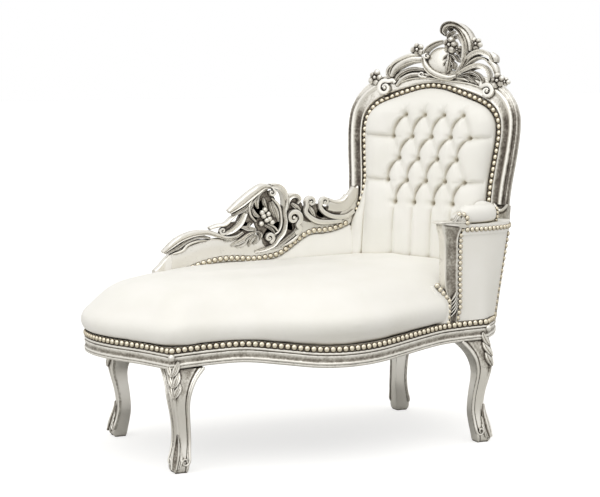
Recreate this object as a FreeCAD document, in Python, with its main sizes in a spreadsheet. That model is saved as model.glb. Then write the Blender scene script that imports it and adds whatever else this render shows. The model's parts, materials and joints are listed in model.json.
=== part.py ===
import FreeCAD, Part
import math
import os
from FreeCAD import Placement, Rotation, Vector

# A carved chaise longue: serpentine seat frame on four cabriole legs, a tall tufted back
# set across the head end, a low carved rail along the rear and one short padded arm.
# X runs from the foot end to the head end, Y to the rear, Z up, the floor is Z = 0.

doc = FreeCAD.newDocument("chaise_longue")
sheet = doc.addObject("Spreadsheet::Sheet", "sizes")

SIZES = [
    # Plan of the seat frame
    ("leg_span_x", "963", "leg corner to leg corner, foot end to head end"),
    ("leg_span_y", "532", "leg corner to leg corner, front to rear"),
    ("plan_centre_x", "-18", "middle of the leg corners"),
    ("plan_centre_y", "20", "middle of the leg corners"),
    ("front_bow", "105", "belly of the front rail beyond the leg corners"),
    ("foot_bow", "140", "rounded foot end beyond the leg corners"),
    ("head_bow", "120", "rounded head end beyond the leg corners"),
    ("rear_bow", "32", "rear rail beyond the leg corners"),
    # Seat rails
    ("nail_line_height", "335", "nail row above the floor at the foot end"),
    ("head_climb", "19", "rise of the nail row towards the head end"),
    ("front_wave", "18", "dip of the front rail below that slope"),
    ("foot_rise", "10", "arch of the foot rail"),
    ("rail_thickness", "34", "seat rail, outside to inside"),
    ("rail_drop", "52", "nail row to the lower edge of a seat rail"),
    ("nail_recess", "4", "depth of the band that the nails sit in"),
    ("rail_chamfer", "5", "lower outer edge of a seat rail"),
    ("reed_depth", "3", "groove along the show face"),
    ("deck_drop", "26", "nail row slope to the top of the inner ledge"),
    ("ledge_width", "20", "inner ledge that carries the webbing"),
    ("ledge_depth", "12", "thickness of that ledge"),
    # Legs
    ("post_reach", "36", "leg corner to the joint faces of the post"),
    ("leg_inset", "14", "leg corner to the axis of the foot"),
    ("knee_width", "96", "leg at the knee"),
    ("leg_rounding", "11", "corner radius of a leg at the foot"),
    # Joints and fastenings
    ("dowel_diameter", "10", "rail dowel"),
    ("dowel_length", "40", "rail dowel"),
    ("dowel_spacing", "24", "between the two dowels of a joint"),
    ("dowel_clearance", "0.1", "hole over dowel, radius"),
    ("dowel_end_gap", "1", "hole beyond each dowel end"),
    ("block_reach", "58", "corner block along each rail"),
    ("block_lift", "4", "corner block above the rail's lower edge"),
    ("screw_diameter", "5", "corner block screw shank"),
    ("screw_head_diameter", "10", "corner block screw head"),
    ("screw_head_height", "3", "corner block screw head"),
    ("screw_length", "40", "corner block screw under its head"),
    ("screw_clearance", "0.15", "hole over screw, radius"),
    ("screw_bite", "8", "corner block screw in the post"),
    # Seat deck and upholstery
    ("web_width", "50", "jute webbing strap"),
    ("web_thickness", "1.6", "jute webbing strap"),
    ("web_end_gap", "3", "strap end to the inside of a rail"),
    ("cloth_thickness", "0.8", "hessian and dust cloth"),
    ("soft_gap", "0.3", "soft parts stay this far from what they rest on"),
    ("fit_gap", "0.9", "curved soft parts stay this far from their neighbours"),
    ("cover_thickness", "3", "leather with its wadding"),
    ("crown_height", "178", "nail row slope to the crown of the seat"),
    ("foam_height", "95", "nail row slope to the top of the foam block"),
    ("foam_inset", "42", "foam block inside the rails' outer faces"),
    # Nails
    ("nail_diameter", "17", "domed nail head"),
    ("nail_height", "5.5", "domed nail head"),
    ("nail_pitch", "18.4", "nail to nail"),
    ("nail_seat_gap", "0.35", "nail head to the face it is driven into"),
    # Tall back, in its own plane
    ("back_turn", "56", "angle of the back's face line from X"),
    ("back_lean", "8", "backward lean"),
    ("back_foot_x", "453", "middle of the back at arm height, from the leg centre"),
    ("back_foot_y", "65", "middle of the back at arm height, from the leg centre"),
    ("back_foot_z", "620", "height of that point"),
    ("back_frame_rear", "26", "frame thickness behind the back plane"),
    ("back_frame_front", "12", "frame thickness in front of it"),
    ("nail_lip_depth", "8", "nail lip of the frame below its face"),
    ("back_half_width", "275", "half the back's outer width at the arm"),
    ("back_opening_half", "204", "half the padded opening at the arm"),
    ("crest_height", "468", "top of the crest rail above the arm"),
    ("opening_height", "407", "top of the padded opening above the arm"),
    ("stile_joint_height", "292", "stile to crest rail joint"),
    ("back_tenon_width", "34", "tenon of a stile in the crest rail"),
    ("back_tenon_depth", "14", "same, front to rear"),
    ("back_tenon_length", "26", "same, upwards"),
    ("tenon_clearance", "0.2", "mortise over tenon, each way"),
    ("lower_rail_height", "70", "rail between the stiles at seat level"),
    ("lower_rail_drop", "150", "its top below the arm height"),
    ("back_pad_edge", "22", "back pad thickness at the frame"),
    ("back_pad_crown", "58", "back pad thickness at its middle"),
    ("back_foot_half", "252", "half the back's outer width where it meets the seat rails"),
    ("tuft_rise", "67", "between tuft rows"),
    ("tuft_spread", "65", "between tufts in a row"),
    ("tuft_first_height", "61", "lowest tuft row above the arm height"),
    ("tuft_floor", "20", "tuft bottom above the back plane"),
    ("pleat_floor", "36", "pleat bottom above the back plane"),
    ("pleat_half_width", "10", "half width of a pleat at the surface"),
    ("tuft_half_width", "15", "half width of a tuft at the surface"),
    ("button_diameter", "14", "covered button"),
    ("button_height", "5", "covered button"),
    ("back_foam_thickness", "14", "foam slab behind the tufts"),
    ("panel_thickness", "5", "outer panels, board and leather"),
    ("hip_height", "165", "corner panel meets the back above the arm height"),
    ("hip_half_width", "246", "half the corner panel where it meets the back"),
    ("side_pleat_floor", "28", "side pleat bottom above the back plane"),
    ("long_pleat_floor", "42", "upright pleat bottom above the back plane"),
    ("nail_row_drop", "100", "back nails below the arm height"),
    # Low back along the rear
    ("low_rail_thickness", "30", "low carved rail, front to rear"),
    ("low_rail_front", "262", "its front face from the leg centre"),
    ("low_rail_rise", "468", "measure for the low rail's sweep"),
    ("low_post_width", "56", "end post of the low back"),
    ("low_pad_bulge", "24", "low pad in front of its rail"),
    # Arm
    ("arm_height", "642", "top of the arm rail"),
    ("arm_rail_depth", "30", "arm rail, top to bottom"),
    ("arm_post_depth", "36", "arm post, front to rear"),
    ("arm_post_proud", "2", "arm post in front of the arm rail"),
    ("arm_pad_height", "52", "arm pad above the arm rail"),
    ("arm_pad_overhang", "14", "arm pad beyond the arm rail"),
    ("arm_inner_thickness", "34", "padding inside the arm"),
    # Carving
    ("carving_proud", "12", "carving in front of its rail"),
]

for row, (alias, value, note) in enumerate(SIZES, start=1):
    sheet.set("A%d" % row, alias)
    sheet.set("B%d" % row, value)
    sheet.set("C%d" % row, note)
    sheet.setAlias("B%d" % row, alias)
doc.recompute()


def size(alias):
    """A driving dimension, read from the sheet."""
    return float(getattr(sheet, alias))


half_x = size("leg_span_x") / 2
half_y = size("leg_span_y") / 2
centre_x = size("plan_centre_x")
centre_y = size("plan_centre_y")
nail_radius = size("nail_diameter") / 2
rail_lip = nail_radius + size("nail_seat_gap")
nail_band = nail_radius + size("nail_seat_gap")
soft_gap = size("soft_gap")
fit_gap = size("fit_gap")
UP = Vector(0, 0, 1)

# Nodes of the finished part, by file name
nodes = {}


def keep(label, shape, placement=None):
    """Makes a free-form sub-part from a shape."""
    item = doc.addObject("Part::Feature", label)
    item.Label = label
    item.Shape = shape
    if placement is not None:
        item.Placement = placement
    nodes[label] = item
    return item


def largest(shape):
    """The biggest solid of a shape, for pieces trimmed to fit."""
    return max(shape.Solids, key=lambda solid: solid.Volume)


def smooth(points, place):
    """Value at a place of the smooth curve through (place, value) points."""
    if place <= points[0][0]:
        return points[0][1]
    if place >= points[-1][0]:
        return points[-1][1]
    last = len(points) - 1
    slopes = []
    for index in range(last + 1):
        before = points[max(index - 1, 0)]
        after = points[min(index + 1, last)]
        slopes.append((after[1] - before[1]) / (after[0] - before[0]))
    for index in range(last):
        left, right = points[index], points[index + 1]
        if place <= right[0]:
            span = right[0] - left[0]
            part = (place - left[0]) / span
            rest = 1 - part
            return (left[1] * (1 + 2 * part) * rest * rest
                    + right[1] * (1 + 2 * rest) * part * part
                    + slopes[index] * span * part * rest * rest
                    - slopes[index + 1] * span * part * part * rest)


def evenly(first, last, count):
    """Evenly spaced places, both ends included."""
    return [first + (last - first) * step / (count - 1) for step in range(count)]


def polygon(points):
    """Closed wire of straight lines."""
    return Part.makePolygon(list(points) + [points[0]])


def prism(points, direction):
    """Solid from a flat closed polygon."""
    return Part.Face(polygon(points)).extrude(direction)


def arcs(points):
    """Edges of arcs through each three points of an odd-numbered run."""
    run = []
    for index in range(0, len(points) - 2, 2):
        run.append(Part.Arc(points[index], points[index + 1], points[index + 2]).toShape())
    return run


def loft(wires, ruled=False):
    """Solid through closed wires."""
    return Part.makeLoft(wires, True, ruled)


# Plan of the seat frame: shares of the half spans against shares of each bow
FRONT_BOW_SHARES = [(-1.10, 0.0), (-1.0, 0.02), (-0.80, 0.06), (-0.60, 0.26), (-0.40, 0.50), (-0.20, 0.86),
                    (0.0, 1.03), (0.20, 0.92), (0.40, 0.61), (0.57, 0.33), (0.70, 0.11), (0.85, 0.03),
                    (1.0, 0.0), (1.10, -0.05)]
FOOT_BOW_SHARES = [(-1.10, 0.02), (-1.0, 0.10), (-0.62, 0.49), (-0.26, 0.88), (0.11, 1.04), (0.50, 0.93),
                   (0.83, 0.55), (1.0, 0.17), (1.10, 0.02)]
HEAD_BOW_SHARES = [(-1.10, 0.0), (-1.0, 0.07), (-0.76, 0.55), (-0.45, 0.95), (0.0, 1.05), (0.45, 0.95),
                   (0.76, 0.60), (1.0, 0.15), (1.10, 0.0)]
REAR_BOW_SHARES = [(-1.10, 0.0), (-1.0, 0.20), (-0.80, 0.72), (-0.40, 1.0), (0.40, 1.0), (0.80, 0.80),
                   (1.0, 0.20), (1.10, 0.0)]
FRONT_WAVE_SHARES = [(-1.10, 0.0), (-0.80, 0.33), (-0.60, 0.45), (-0.40, -0.20), (-0.20, -0.85),
                     (-0.05, -1.0), (0.15, -0.90), (0.40, -0.45), (0.60, -0.12), (0.85, 0.0), (1.10, 0.0)]


def front_edge(x):
    """Y of the front rail's show face."""
    return centre_y - half_y - size("front_bow") * smooth(FRONT_BOW_SHARES, (x - centre_x) / half_x)


def rear_edge(x):
    """Y of the rear rail's outer face."""
    return centre_y + half_y + size("rear_bow") * smooth(REAR_BOW_SHARES, (x - centre_x) / half_x)


def foot_edge(y):
    """X of the foot rail's outer face."""
    return centre_x - half_x - size("foot_bow") * smooth(FOOT_BOW_SHARES, (y - centre_y) / half_y)


def head_edge(y):
    """X of the head rail's outer face."""
    return centre_x + half_x + size("head_bow") * smooth(HEAD_BOW_SHARES, (y - centre_y) / half_y)


def slope_height(x):
    """Height of the sloping line that the nail rows follow."""
    climb = size("head_climb") * (x - centre_x + half_x) / (2 * half_x)
    return size("nail_line_height") + climb


def front_nail(x):
    """Nail row height along the front rail."""
    return slope_height(x) + size("front_wave") * smooth(FRONT_WAVE_SHARES, (x - centre_x) / half_x)


def foot_nail(y):
    """Nail row height along the foot rail."""
    share = min(abs(y - centre_y) / half_y, 1)
    return slope_height(foot_edge(y)) + size("foot_rise") * (1 - share * share)


def side_nail(x):
    """Nail row height along the rear and head rails."""
    return slope_height(x)


def deck_height(x):
    """Top of the inner ledge that carries the webbing."""
    return slope_height(x) - size("deck_drop")


# The four seat rails: one moulded section carried along each side


def rail_section(nail, deck):
    """(inset, height) corners of a seat rail, outside face at inset zero."""
    thickness = size("rail_thickness")
    recess = size("nail_recess")
    reed = size("reed_depth")
    chamfer = size("rail_chamfer")
    bottom = nail - size("rail_drop")
    show_top = nail - nail_band - recess
    middle = (show_top + bottom) / 2
    ledge_bottom = deck - size("ledge_depth")
    return [
        (thickness, nail + rail_lip), (recess, nail + rail_lip), (recess, nail - nail_band),
        (0, show_top), (0, middle + reed), (reed, middle), (0, middle - reed),
        (0, bottom + chamfer), (chamfer, bottom), (thickness, bottom),
        (thickness, ledge_bottom), (thickness + size("ledge_width"), ledge_bottom),
        (thickness + size("ledge_width"), deck), (thickness, deck)]


front_left = centre_x - half_x + size("post_reach")
front_right = centre_x + half_x - size("post_reach")
side_front = centre_y - half_y + size("post_reach")
side_rear = centre_y + half_y - size("post_reach")

front_sections = []
rear_sections = []
for x in evenly(front_left, front_right, 33):
    corners = rail_section(front_nail(x), deck_height(x))
    front_sections.append(polygon([Vector(x, front_edge(x) + inset, height) for inset, height in corners]))
for x in evenly(front_left, front_right, 21):
    corners = rail_section(side_nail(x), deck_height(x))
    rear_sections.append(polygon([Vector(x, rear_edge(x) - inset, height) for inset, height in corners]))
foot_sections = []
head_sections = []
for y in evenly(side_front, side_rear, 23):
    corners = rail_section(foot_nail(y), deck_height(foot_edge(y)))
    foot_sections.append(polygon([Vector(foot_edge(y) + inset, y, height) for inset, height in corners]))
    corners = rail_section(side_nail(head_edge(y)), deck_height(head_edge(y)))
    head_sections.append(polygon([Vector(head_edge(y) - inset, y, height) for inset, height in corners]))
rails = {
    "front_rail": loft(front_sections),
    "rear_rail": loft(rear_sections),
    "foot_rail": loft(foot_sections),
    "head_rail": loft(head_sections),
}

# Legs: a cabriole turned out along the diagonal, carved in one piece with its corner post.
# Each row: height share of the leg, width share and outward share of the knee width.
LEG_SHAPE_SHARES = [
    (0.0, 0.42, 0.027), (0.035, 0.46, 0.059), (0.09, 0.47, 0.035), (0.18, 0.43, -0.053), (0.28, 0.40, -0.121),
    (0.38, 0.385, -0.125), (0.50, 0.40, -0.077), (0.60, 0.43, -0.009), (0.70, 0.49, 0.037),
    (0.79, 0.57, 0.009), (0.87, 0.66, -0.084), (0.93, 0.76, -0.214), (1.0, 0.92, -0.40), (1.04, 0.92, -0.41)]
CORNERS = {
    "leg_front_foot": (-1, -1), "leg_front_head": (1, -1),
    "leg_rear_foot": (-1, 1), "leg_rear_head": (1, 1)}


def rounded_square(middle, half, rounding, outward):
    """Closed wire of four lines and four arcs, one corner pointing outward."""
    wire = []
    quarter = math.radians(90)
    start = math.atan2(outward.y, outward.x) - quarter / 2
    flat = half - rounding
    for side in range(4):
        angle = start + side * quarter
        ahead = Vector(math.cos(angle), math.sin(angle), 0)
        left = Vector(-math.sin(angle), math.cos(angle), 0)
        wire.append(Part.makeLine(middle + ahead * half - left * flat, middle + ahead * half + left * flat))
        corner = middle + ahead * flat + left * flat
        tip = corner + (ahead + left) * (rounding * math.sqrt(0.5))
        wire.append(Part.Arc(corner + ahead * rounding, tip, corner + left * rounding).toShape())
    return Part.Wire(wire)


def long_edge(x, front_side):
    return front_edge(x) if front_side < 0 else rear_edge(x)


def short_edge(y, foot_side):
    return foot_edge(y) if foot_side < 0 else head_edge(y)


def corner_nail(foot_side, front_side):
    """Nail row height at a leg's corner."""
    x = centre_x + foot_side * half_x
    return front_nail(x) if front_side < 0 else side_nail(x)


def post_outline(foot_side, front_side, recess, height):
    """Corners of a leg's post, flush with the two rails that meet it."""
    x_joint = centre_x + foot_side * (half_x - size("post_reach"))
    y_joint = centre_y + front_side * (half_y - size("post_reach"))
    x_corner = short_edge(centre_y + front_side * half_y, foot_side)
    y_corner = long_edge(x_corner, front_side)
    return [
        Vector(x_joint, long_edge(x_joint, front_side) - front_side * recess, height),
        Vector(x_corner - foot_side * recess, y_corner - front_side * recess, height),
        Vector(short_edge(y_joint, foot_side) - foot_side * recess, y_joint, height),
        Vector(x_joint, y_joint, height)]


legs = {}
for label, (foot_side, front_side) in CORNERS.items():
    nail = corner_nail(foot_side, front_side)
    leg_height = nail - size("rail_drop")
    outward = Vector(foot_side, front_side, 0).normalize()
    axis = Vector(centre_x + foot_side * (half_x - size("leg_inset")),
                  centre_y + front_side * (half_y - size("leg_inset")), 0)
    wires = []
    for height_share, width_share, out_share in LEG_SHAPE_SHARES:
        middle = axis + outward * (out_share * size("knee_width")) + UP * (height_share * leg_height)
        half = width_share * size("knee_width") / 2
        wires.append(rounded_square(middle, half, size("leg_rounding") * 2 * width_share, outward))
    cabriole = loft(wires)
    lower = prism(post_outline(foot_side, front_side, 0, leg_height),
                  UP * (size("rail_drop") - nail_band))
    upper = prism(post_outline(foot_side, front_side, size("nail_recess"), nail - nail_band),
                  UP * (nail_band + rail_lip))
    long_rail = rails["front_rail"] if front_side < 0 else rails["rear_rail"]
    short_rail = rails["foot_rail"] if foot_side < 0 else rails["head_rail"]
    knee = largest(cabriole.cut(long_rail).cut(short_rail))
    legs[label] = largest(knee.fuse([lower, upper]).removeSplitter())

# Dowels: two at each rail end, half in the rail and half in the post
dowel = doc.addObject("Part::Cylinder", "one_dowel")
dowel.setExpression("Radius", "sizes.dowel_diameter / 2")
dowel.setExpression("Height", "sizes.dowel_length")
dowel_hole = doc.addObject("Part::Cylinder", "one_dowel_hole")
dowel_hole.setExpression("Radius", "sizes.dowel_diameter / 2 + sizes.dowel_clearance")
dowel_hole.setExpression("Height", "sizes.dowel_length + 2 * sizes.dowel_end_gap")
doc.recompute()


def placed(shape, base, axis):
    """A copy of a shape made along Z, moved to a base and turned to an axis."""
    copy = shape.copy()
    copy.Placement = Placement(base, Rotation(UP, axis))
    return copy


dowels = []
for label, (foot_side, front_side) in CORNERS.items():
    nail = corner_nail(foot_side, front_side)
    x_joint = centre_x + foot_side * (half_x - size("post_reach"))
    y_joint = centre_y + front_side * (half_y - size("post_reach"))
    long_name = "front_rail" if front_side < 0 else "rear_rail"
    short_name = "foot_rail" if foot_side < 0 else "head_rail"
    half_thickness = size("rail_thickness") / 2
    short_step = y_joint + front_side * half_thickness
    long_axis = Vector(foot_side, 0, 0)
    short_axis = Vector(short_edge(short_step, foot_side) - short_edge(y_joint, foot_side),
                        front_side * half_thickness, 0).normalize()
    short_inward = Vector(-foot_side * abs(short_axis.y), -front_side * abs(short_axis.x), 0)
    long_point = Vector(x_joint, long_edge(x_joint, front_side) - front_side * half_thickness, 0)
    short_point = Vector(short_edge(y_joint, foot_side), y_joint, 0) + short_inward * half_thickness
    joints = [(long_name, long_point, long_axis), (short_name, short_point, short_axis)]
    for rail_name, point, axis in joints:
        for step in (-1, 1):
            height = nail - size("rail_drop") / 2 + step * size("dowel_spacing") / 2
            middle = point + UP * height
            base = middle - axis * (size("dowel_length") / 2)
            hole_base = base - axis * size("dowel_end_gap")
            dowels.append(placed(dowel.Shape, base, axis))
            hole = placed(dowel_hole.Shape, hole_base, axis)
            rails[rail_name] = rails[rail_name].cut(hole)
            legs[label] = legs[label].cut(hole)
keep("rail_dowels", Part.makeCompound(dowels))

# Corner blocks behind each leg, notched over the ledges, and the screws that hold them
screw_profile = doc.addObject("PartDesign::Body", "one_block_screw")
sketch = screw_profile.newObject("Sketcher::SketchObject", "screw_sketch")
plane = [item for item in screw_profile.Origin.OriginFeatures if item.Role == "XZ_Plane"][0]
sketch.AttachmentSupport = [(plane, "")]
sketch.MapMode = "FlatFace"
shank = size("screw_diameter") / 2
head = size("screw_head_diameter") / 2
corners = [Vector(0, 0, 0), Vector(shank, 0, 0), Vector(shank, size("screw_length"), 0),
           Vector(head, size("screw_length"), 0),
           Vector(head, size("screw_length") + size("screw_head_height"), 0),
           Vector(0, size("screw_length") + size("screw_head_height"), 0)]
for index, corner in enumerate(corners):
    sketch.addGeometry(Part.LineSegment(corner, corners[(index + 1) % len(corners)]), False)
turned = screw_profile.newObject("PartDesign::Revolution", "screw_turning")
turned.Profile = sketch
turned.ReferenceAxis = (sketch, ["V_Axis"])
turned.Angle = 360
doc.recompute()

screws = []
blocks = []
block_faces = []
for label, (foot_side, front_side) in CORNERS.items():
    nail = corner_nail(foot_side, front_side)
    floor = nail - size("rail_drop") + size("block_lift")
    x_joint = centre_x + foot_side * (half_x - size("post_reach"))
    y_joint = centre_y + front_side * (half_y - size("post_reach"))
    thickness = size("rail_thickness")
    long_name = "front_rail" if front_side < 0 else "rear_rail"
    short_name = "foot_rail" if foot_side < 0 else "head_rail"
    x_near = x_joint
    x_far = x_joint - foot_side * size("block_reach")
    y_near = y_joint
    y_far = y_joint - front_side * size("block_reach")
    back_reach = thickness / 2
    outline = [
        Vector(x_near, long_edge(x_near, front_side) - front_side * back_reach, floor),
        Vector(x_far, long_edge(x_far, front_side) - front_side * back_reach, floor),
        Vector(x_far, long_edge(x_far, front_side) - front_side * (thickness + back_reach), floor),
        Vector(short_edge(y_far, foot_side) - foot_side * (thickness + back_reach), y_far, floor),
        Vector(short_edge(y_far, foot_side) - foot_side * back_reach, y_far, floor),
        Vector(short_edge(y_near, foot_side) - foot_side * back_reach, y_near, floor),
        Vector(x_near, y_near, floor)]
    low_end = min(corner.x for corner in outline)
    block_height = deck_height(low_end) - soft_gap - floor
    block = prism(outline, UP * block_height)
    block = largest(block.cut([rails[long_name], rails[short_name], legs[label]]))
    block_faces.append((outline[2], outline[3]))
    # One screw into the post, along the diagonal, its head sunk in the block
    outward = Vector(foot_side, front_side, 0).normalize()
    tip = Vector(x_joint, y_joint, floor + block_height / 2) + outward * size("screw_bite")
    head_base = tip - outward * size("screw_length")
    screws.append(placed(screw_profile.Shape, tip, outward * -1))
    clearance = size("screw_clearance")
    bore = Part.makeCylinder(shank + clearance, size("screw_length") + 2 * soft_gap, head_base, outward)
    sink = Part.makeCylinder(head + clearance, size("block_reach"), head_base + outward * clearance,
                             outward * -1)
    legs[label] = legs[label].cut([bore, sink])
    rails[long_name] = rails[long_name].cut([bore, sink])
    rails[short_name] = rails[short_name].cut([bore, sink])
    blocks.append(block.cut([bore, sink]))
keep("corner_blocks", Part.makeCompound([largest(block) for block in blocks]))
keep("corner_block_screws", Part.makeCompound(screws))

for label, shape in rails.items():
    rails[label] = largest(shape)
    keep(label, rails[label])
for label, shape in legs.items():
    legs[label] = largest(shape)
    keep(label, legs[label])

# Seat deck: jute straps, hessian over them and a dust cloth tacked underneath, all laid flat
# in the plane of the ledges, which climbs gently towards the head end
deck_angle = math.degrees(math.atan2(size("head_climb"), 2 * half_x))
deck_place = Placement(Vector(centre_x - half_x, 0, deck_height(centre_x - half_x)),
                       Rotation(Vector(0, 1, 0), -deck_angle))
deck_origin = centre_x - half_x
inner = size("rail_thickness") + size("web_end_gap")
web_half = size("web_width") / 2
CROSS_STRAP_SHARES = [-0.72, -0.48, -0.24, 0.0, 0.24, 0.48, 0.72]
LONG_STRAP_SHARES = [-0.54, -0.18, 0.18, 0.54]
straps = []
for share in CROSS_STRAP_SHARES:
    x = centre_x + share * half_x
    near = max(front_edge(x - web_half), front_edge(x + web_half)) + inner
    far = min(rear_edge(x - web_half), rear_edge(x + web_half)) - inner
    strap = Part.makeBox(size("web_width"), far - near, size("web_thickness"),
                         Vector(x - web_half - deck_origin, near, soft_gap))
    straps.append(strap)
for share in LONG_STRAP_SHARES:
    y = centre_y + share * half_y
    near = max(foot_edge(y - web_half), foot_edge(y + web_half)) + inner
    far = min(head_edge(y - web_half), head_edge(y + web_half)) - inner
    strap = Part.makeBox(far - near, size("web_width"), size("web_thickness"),
                         Vector(near - deck_origin, y - web_half, 2 * soft_gap + size("web_thickness")))
    straps.append(strap)
keep("seat_webbing", Part.makeCompound(straps), deck_place)


def inner_plan(inset, height):
    """Corners round the inside of the seat rails, in the plane of the deck."""
    reach = size("post_reach") + inset
    x_low = centre_x - half_x + reach
    x_high = centre_x + half_x - reach
    y_low = centre_y - half_y + reach
    y_high = centre_y + half_y - reach
    corners = []
    for x in evenly(x_low, x_high, 13):
        corners.append(Vector(x - deck_origin, front_edge(x) + inset, height))
    for y in evenly(y_low, y_high, 9):
        corners.append(Vector(head_edge(y) - inset - deck_origin, y, height))
    for x in evenly(x_high, x_low, 9):
        corners.append(Vector(x - deck_origin, rear_edge(x) - inset, height))
    for y in evenly(y_high, y_low, 9):
        corners.append(Vector(foot_edge(y) + inset - deck_origin, y, height))
    return corners


hessian_height = 3 * soft_gap + 2 * size("web_thickness")
keep("seat_hessian", prism(inner_plan(inner, hessian_height), UP * size("cloth_thickness")), deck_place)
dust_height = -size("ledge_depth") - soft_gap - size("cloth_thickness")
dust = prism(inner_plan(inner, dust_height), UP * size("cloth_thickness"))
dust.Placement = deck_place
for near, far in block_faces:
    run = (far - near).normalize()
    inward = Vector(centre_x, centre_y, near.z) - near
    inward = (inward - run * inward.dot(run)).normalize()
    start = near - run * half_y + inward * soft_gap
    end = far + run * half_y + inward * soft_gap
    clear_of_block = [start, end, end - inward * half_y, start - inward * half_y]
    dust = dust.cut(prism(clear_of_block, UP * half_y)).cut(prism(clear_of_block, UP * -half_y))
keep("dust_cloth", largest(dust))

# Tools that keep soft parts clear of the rails and posts under them
tool_reach = size("leg_span_y") / 4


def top_tool(points_of, stations, top_of):
    """Everything at and under a rail's top, from well outside to its inner face."""
    wires = []
    for station in stations:
        top = top_of(station) + rail_lip + soft_gap
        outer = points_of(station, -tool_reach)
        inner_point = points_of(station, size("rail_thickness") + soft_gap)
        wires.append(polygon([Vector(outer.x, outer.y, top), Vector(inner_point.x, inner_point.y, top),
                              Vector(inner_point.x, inner_point.y, top - tool_reach),
                              Vector(outer.x, outer.y, top - tool_reach)]))
    return loft(wires)


long_stations = evenly(front_left, front_right, 33)
short_stations = evenly(side_front, side_rear, 23)
seat_tools = [
    top_tool(lambda x, inset: Vector(x, front_edge(x) + inset, 0), long_stations, front_nail),
    top_tool(lambda x, inset: Vector(x, rear_edge(x) - inset, 0), long_stations, side_nail),
    top_tool(lambda y, inset: Vector(foot_edge(y) + inset, y, 0), short_stations, foot_nail),
    top_tool(lambda y, inset: Vector(head_edge(y) - inset, y, 0), short_stations,
             lambda y: side_nail(head_edge(y)))]
for foot_side, front_side in CORNERS.values():
    top = corner_nail(foot_side, front_side) + rail_lip + soft_gap
    x_near = centre_x + foot_side * (half_x - size("post_reach") - soft_gap)
    y_near = centre_y + front_side * (half_y - size("post_reach") - soft_gap)
    x_far = x_near + foot_side * 2 * tool_reach
    y_far = y_near + front_side * 2 * tool_reach
    seat_tools.append(Part.makeBox(2 * tool_reach, 2 * tool_reach, tool_reach,
                                   Vector(min(x_near, x_far), min(y_near, y_far), top - tool_reach)))

far_left = centre_x - 2 * half_x
far_right = centre_x + 2 * half_x
under_tops = Part.Face(polygon([
    Vector(far_left, -2 * half_x, slope_height(far_left) + rail_lip + soft_gap),
    Vector(far_right, -2 * half_x, slope_height(far_right) + rail_lip + soft_gap),
    Vector(far_right, 2 * half_x, slope_height(far_right) + rail_lip + soft_gap),
    Vector(far_left, 2 * half_x, slope_height(far_left) + rail_lip + soft_gap)])).extrude(UP * -half_y)

# Plan outline of the seat, a closed run of points for arcs, drawn in towards the middle
FRONT_PLAN_SHARES = [-0.90, -0.75, -0.60, -0.45, -0.30, -0.15, 0.0, 0.15, 0.30, 0.45, 0.60, 0.75, 0.90]
SIDE_PLAN_SHARES = [-0.80, -0.60, -0.40, -0.20, 0.0, 0.20, 0.40, 0.60, 0.80]
LONG_PLAN_SHARES = [-0.90, -0.68, -0.45, -0.22, 0.0, 0.22, 0.45, 0.68, 0.90]
SPINE_SHARES = (-0.60, 0.60)
CORNER_PULL_SHARE = 0.30
REAR_SHOULDER_SHARES = [(-1.0, 0.0), (-0.85, 0.0), (-0.60, 0.75), (-0.42, 1.0), (1.0, 1.0)]
# Seat profile: inset, inset along the rear (shares of half the depth), height (share of the crown)
SEAT_PROFILE_SHARES = [
    (0.015, 0.015, -0.115), (0.015, 0.015, 0.08), (-0.025, 0.015, 0.22), (-0.010, 0.015, 0.38),
    (0.060, 0.020, 0.51), (0.150, 0.040, 0.674), (0.210, 0.060, 0.755), (0.340, 0.140, 0.848),
    (0.430, 0.220, 0.890), (0.620, 0.450, 0.945), (0.800, 0.700, 0.980), (0.930, 0.900, 1.0)]


def plan_corner(foot_side, front_side):
    """Outline corner at a leg, rounded off."""
    x = short_edge(centre_y + front_side * half_y, foot_side)
    pull = size("post_reach") * CORNER_PULL_SHARE
    return (x - foot_side * pull, long_edge(x, front_side) - front_side * pull)


def plan_points():
    """(x, y, rear share) round the outside of the seat rails from the front left."""
    points = []
    for share in FRONT_PLAN_SHARES:
        x = centre_x + share * half_x
        points.append((x, front_edge(x), 0))
    points.append(plan_corner(1, -1) + (0,))
    for share in SIDE_PLAN_SHARES:
        y = centre_y + share * half_y
        points.append((head_edge(y), y, 0))
    points.append(plan_corner(1, 1) + (1,))
    for share in reversed(LONG_PLAN_SHARES):
        x = centre_x + share * half_x
        points.append((x, rear_edge(x), smooth(REAR_SHOULDER_SHARES, share)))
    points.append(plan_corner(-1, 1) + (0,))
    for share in reversed(SIDE_PLAN_SHARES):
        y = centre_y + share * half_y
        points.append((foot_edge(y), y, 0))
    points.append(plan_corner(-1, -1) + (0,))
    return points


def seat_layer(inset_share, rear_share, height_share):
    """Closed wire of arcs, parallel to the slope of the nail rows."""
    low_x = centre_x + SPINE_SHARES[0] * half_x
    high_x = centre_x + SPINE_SHARES[1] * half_x
    run = []
    for x, y, rear in plan_points():
        spine = Vector(min(max(x, low_x), high_x), centre_y, 0)
        point = Vector(x, y, 0)
        share = inset_share + (rear_share - inset_share) * rear
        drawn = point + (spine - point) * share
        drawn.z = slope_height(drawn.x) + height_share * size("crown_height")
        run.append(drawn)
    return Part.Wire(arcs(run + [run[0]]))


seat_whole = loft([seat_layer(*row) for row in SEAT_PROFILE_SHARES])
foam_floor = hessian_height + size("cloth_thickness") + soft_gap
foam_top = size("deck_drop") + size("foam_height")
foam_rise = foam_top - foam_floor
seat_foam = prism(inner_plan(size("foam_inset"), foam_floor), UP * foam_rise)
seat_foam.Placement = deck_place
foam_zone = prism(inner_plan(size("foam_inset") - soft_gap, foam_floor - soft_gap),
                  UP * (foam_rise + 2 * soft_gap))
foam_zone.Placement = deck_place

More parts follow.
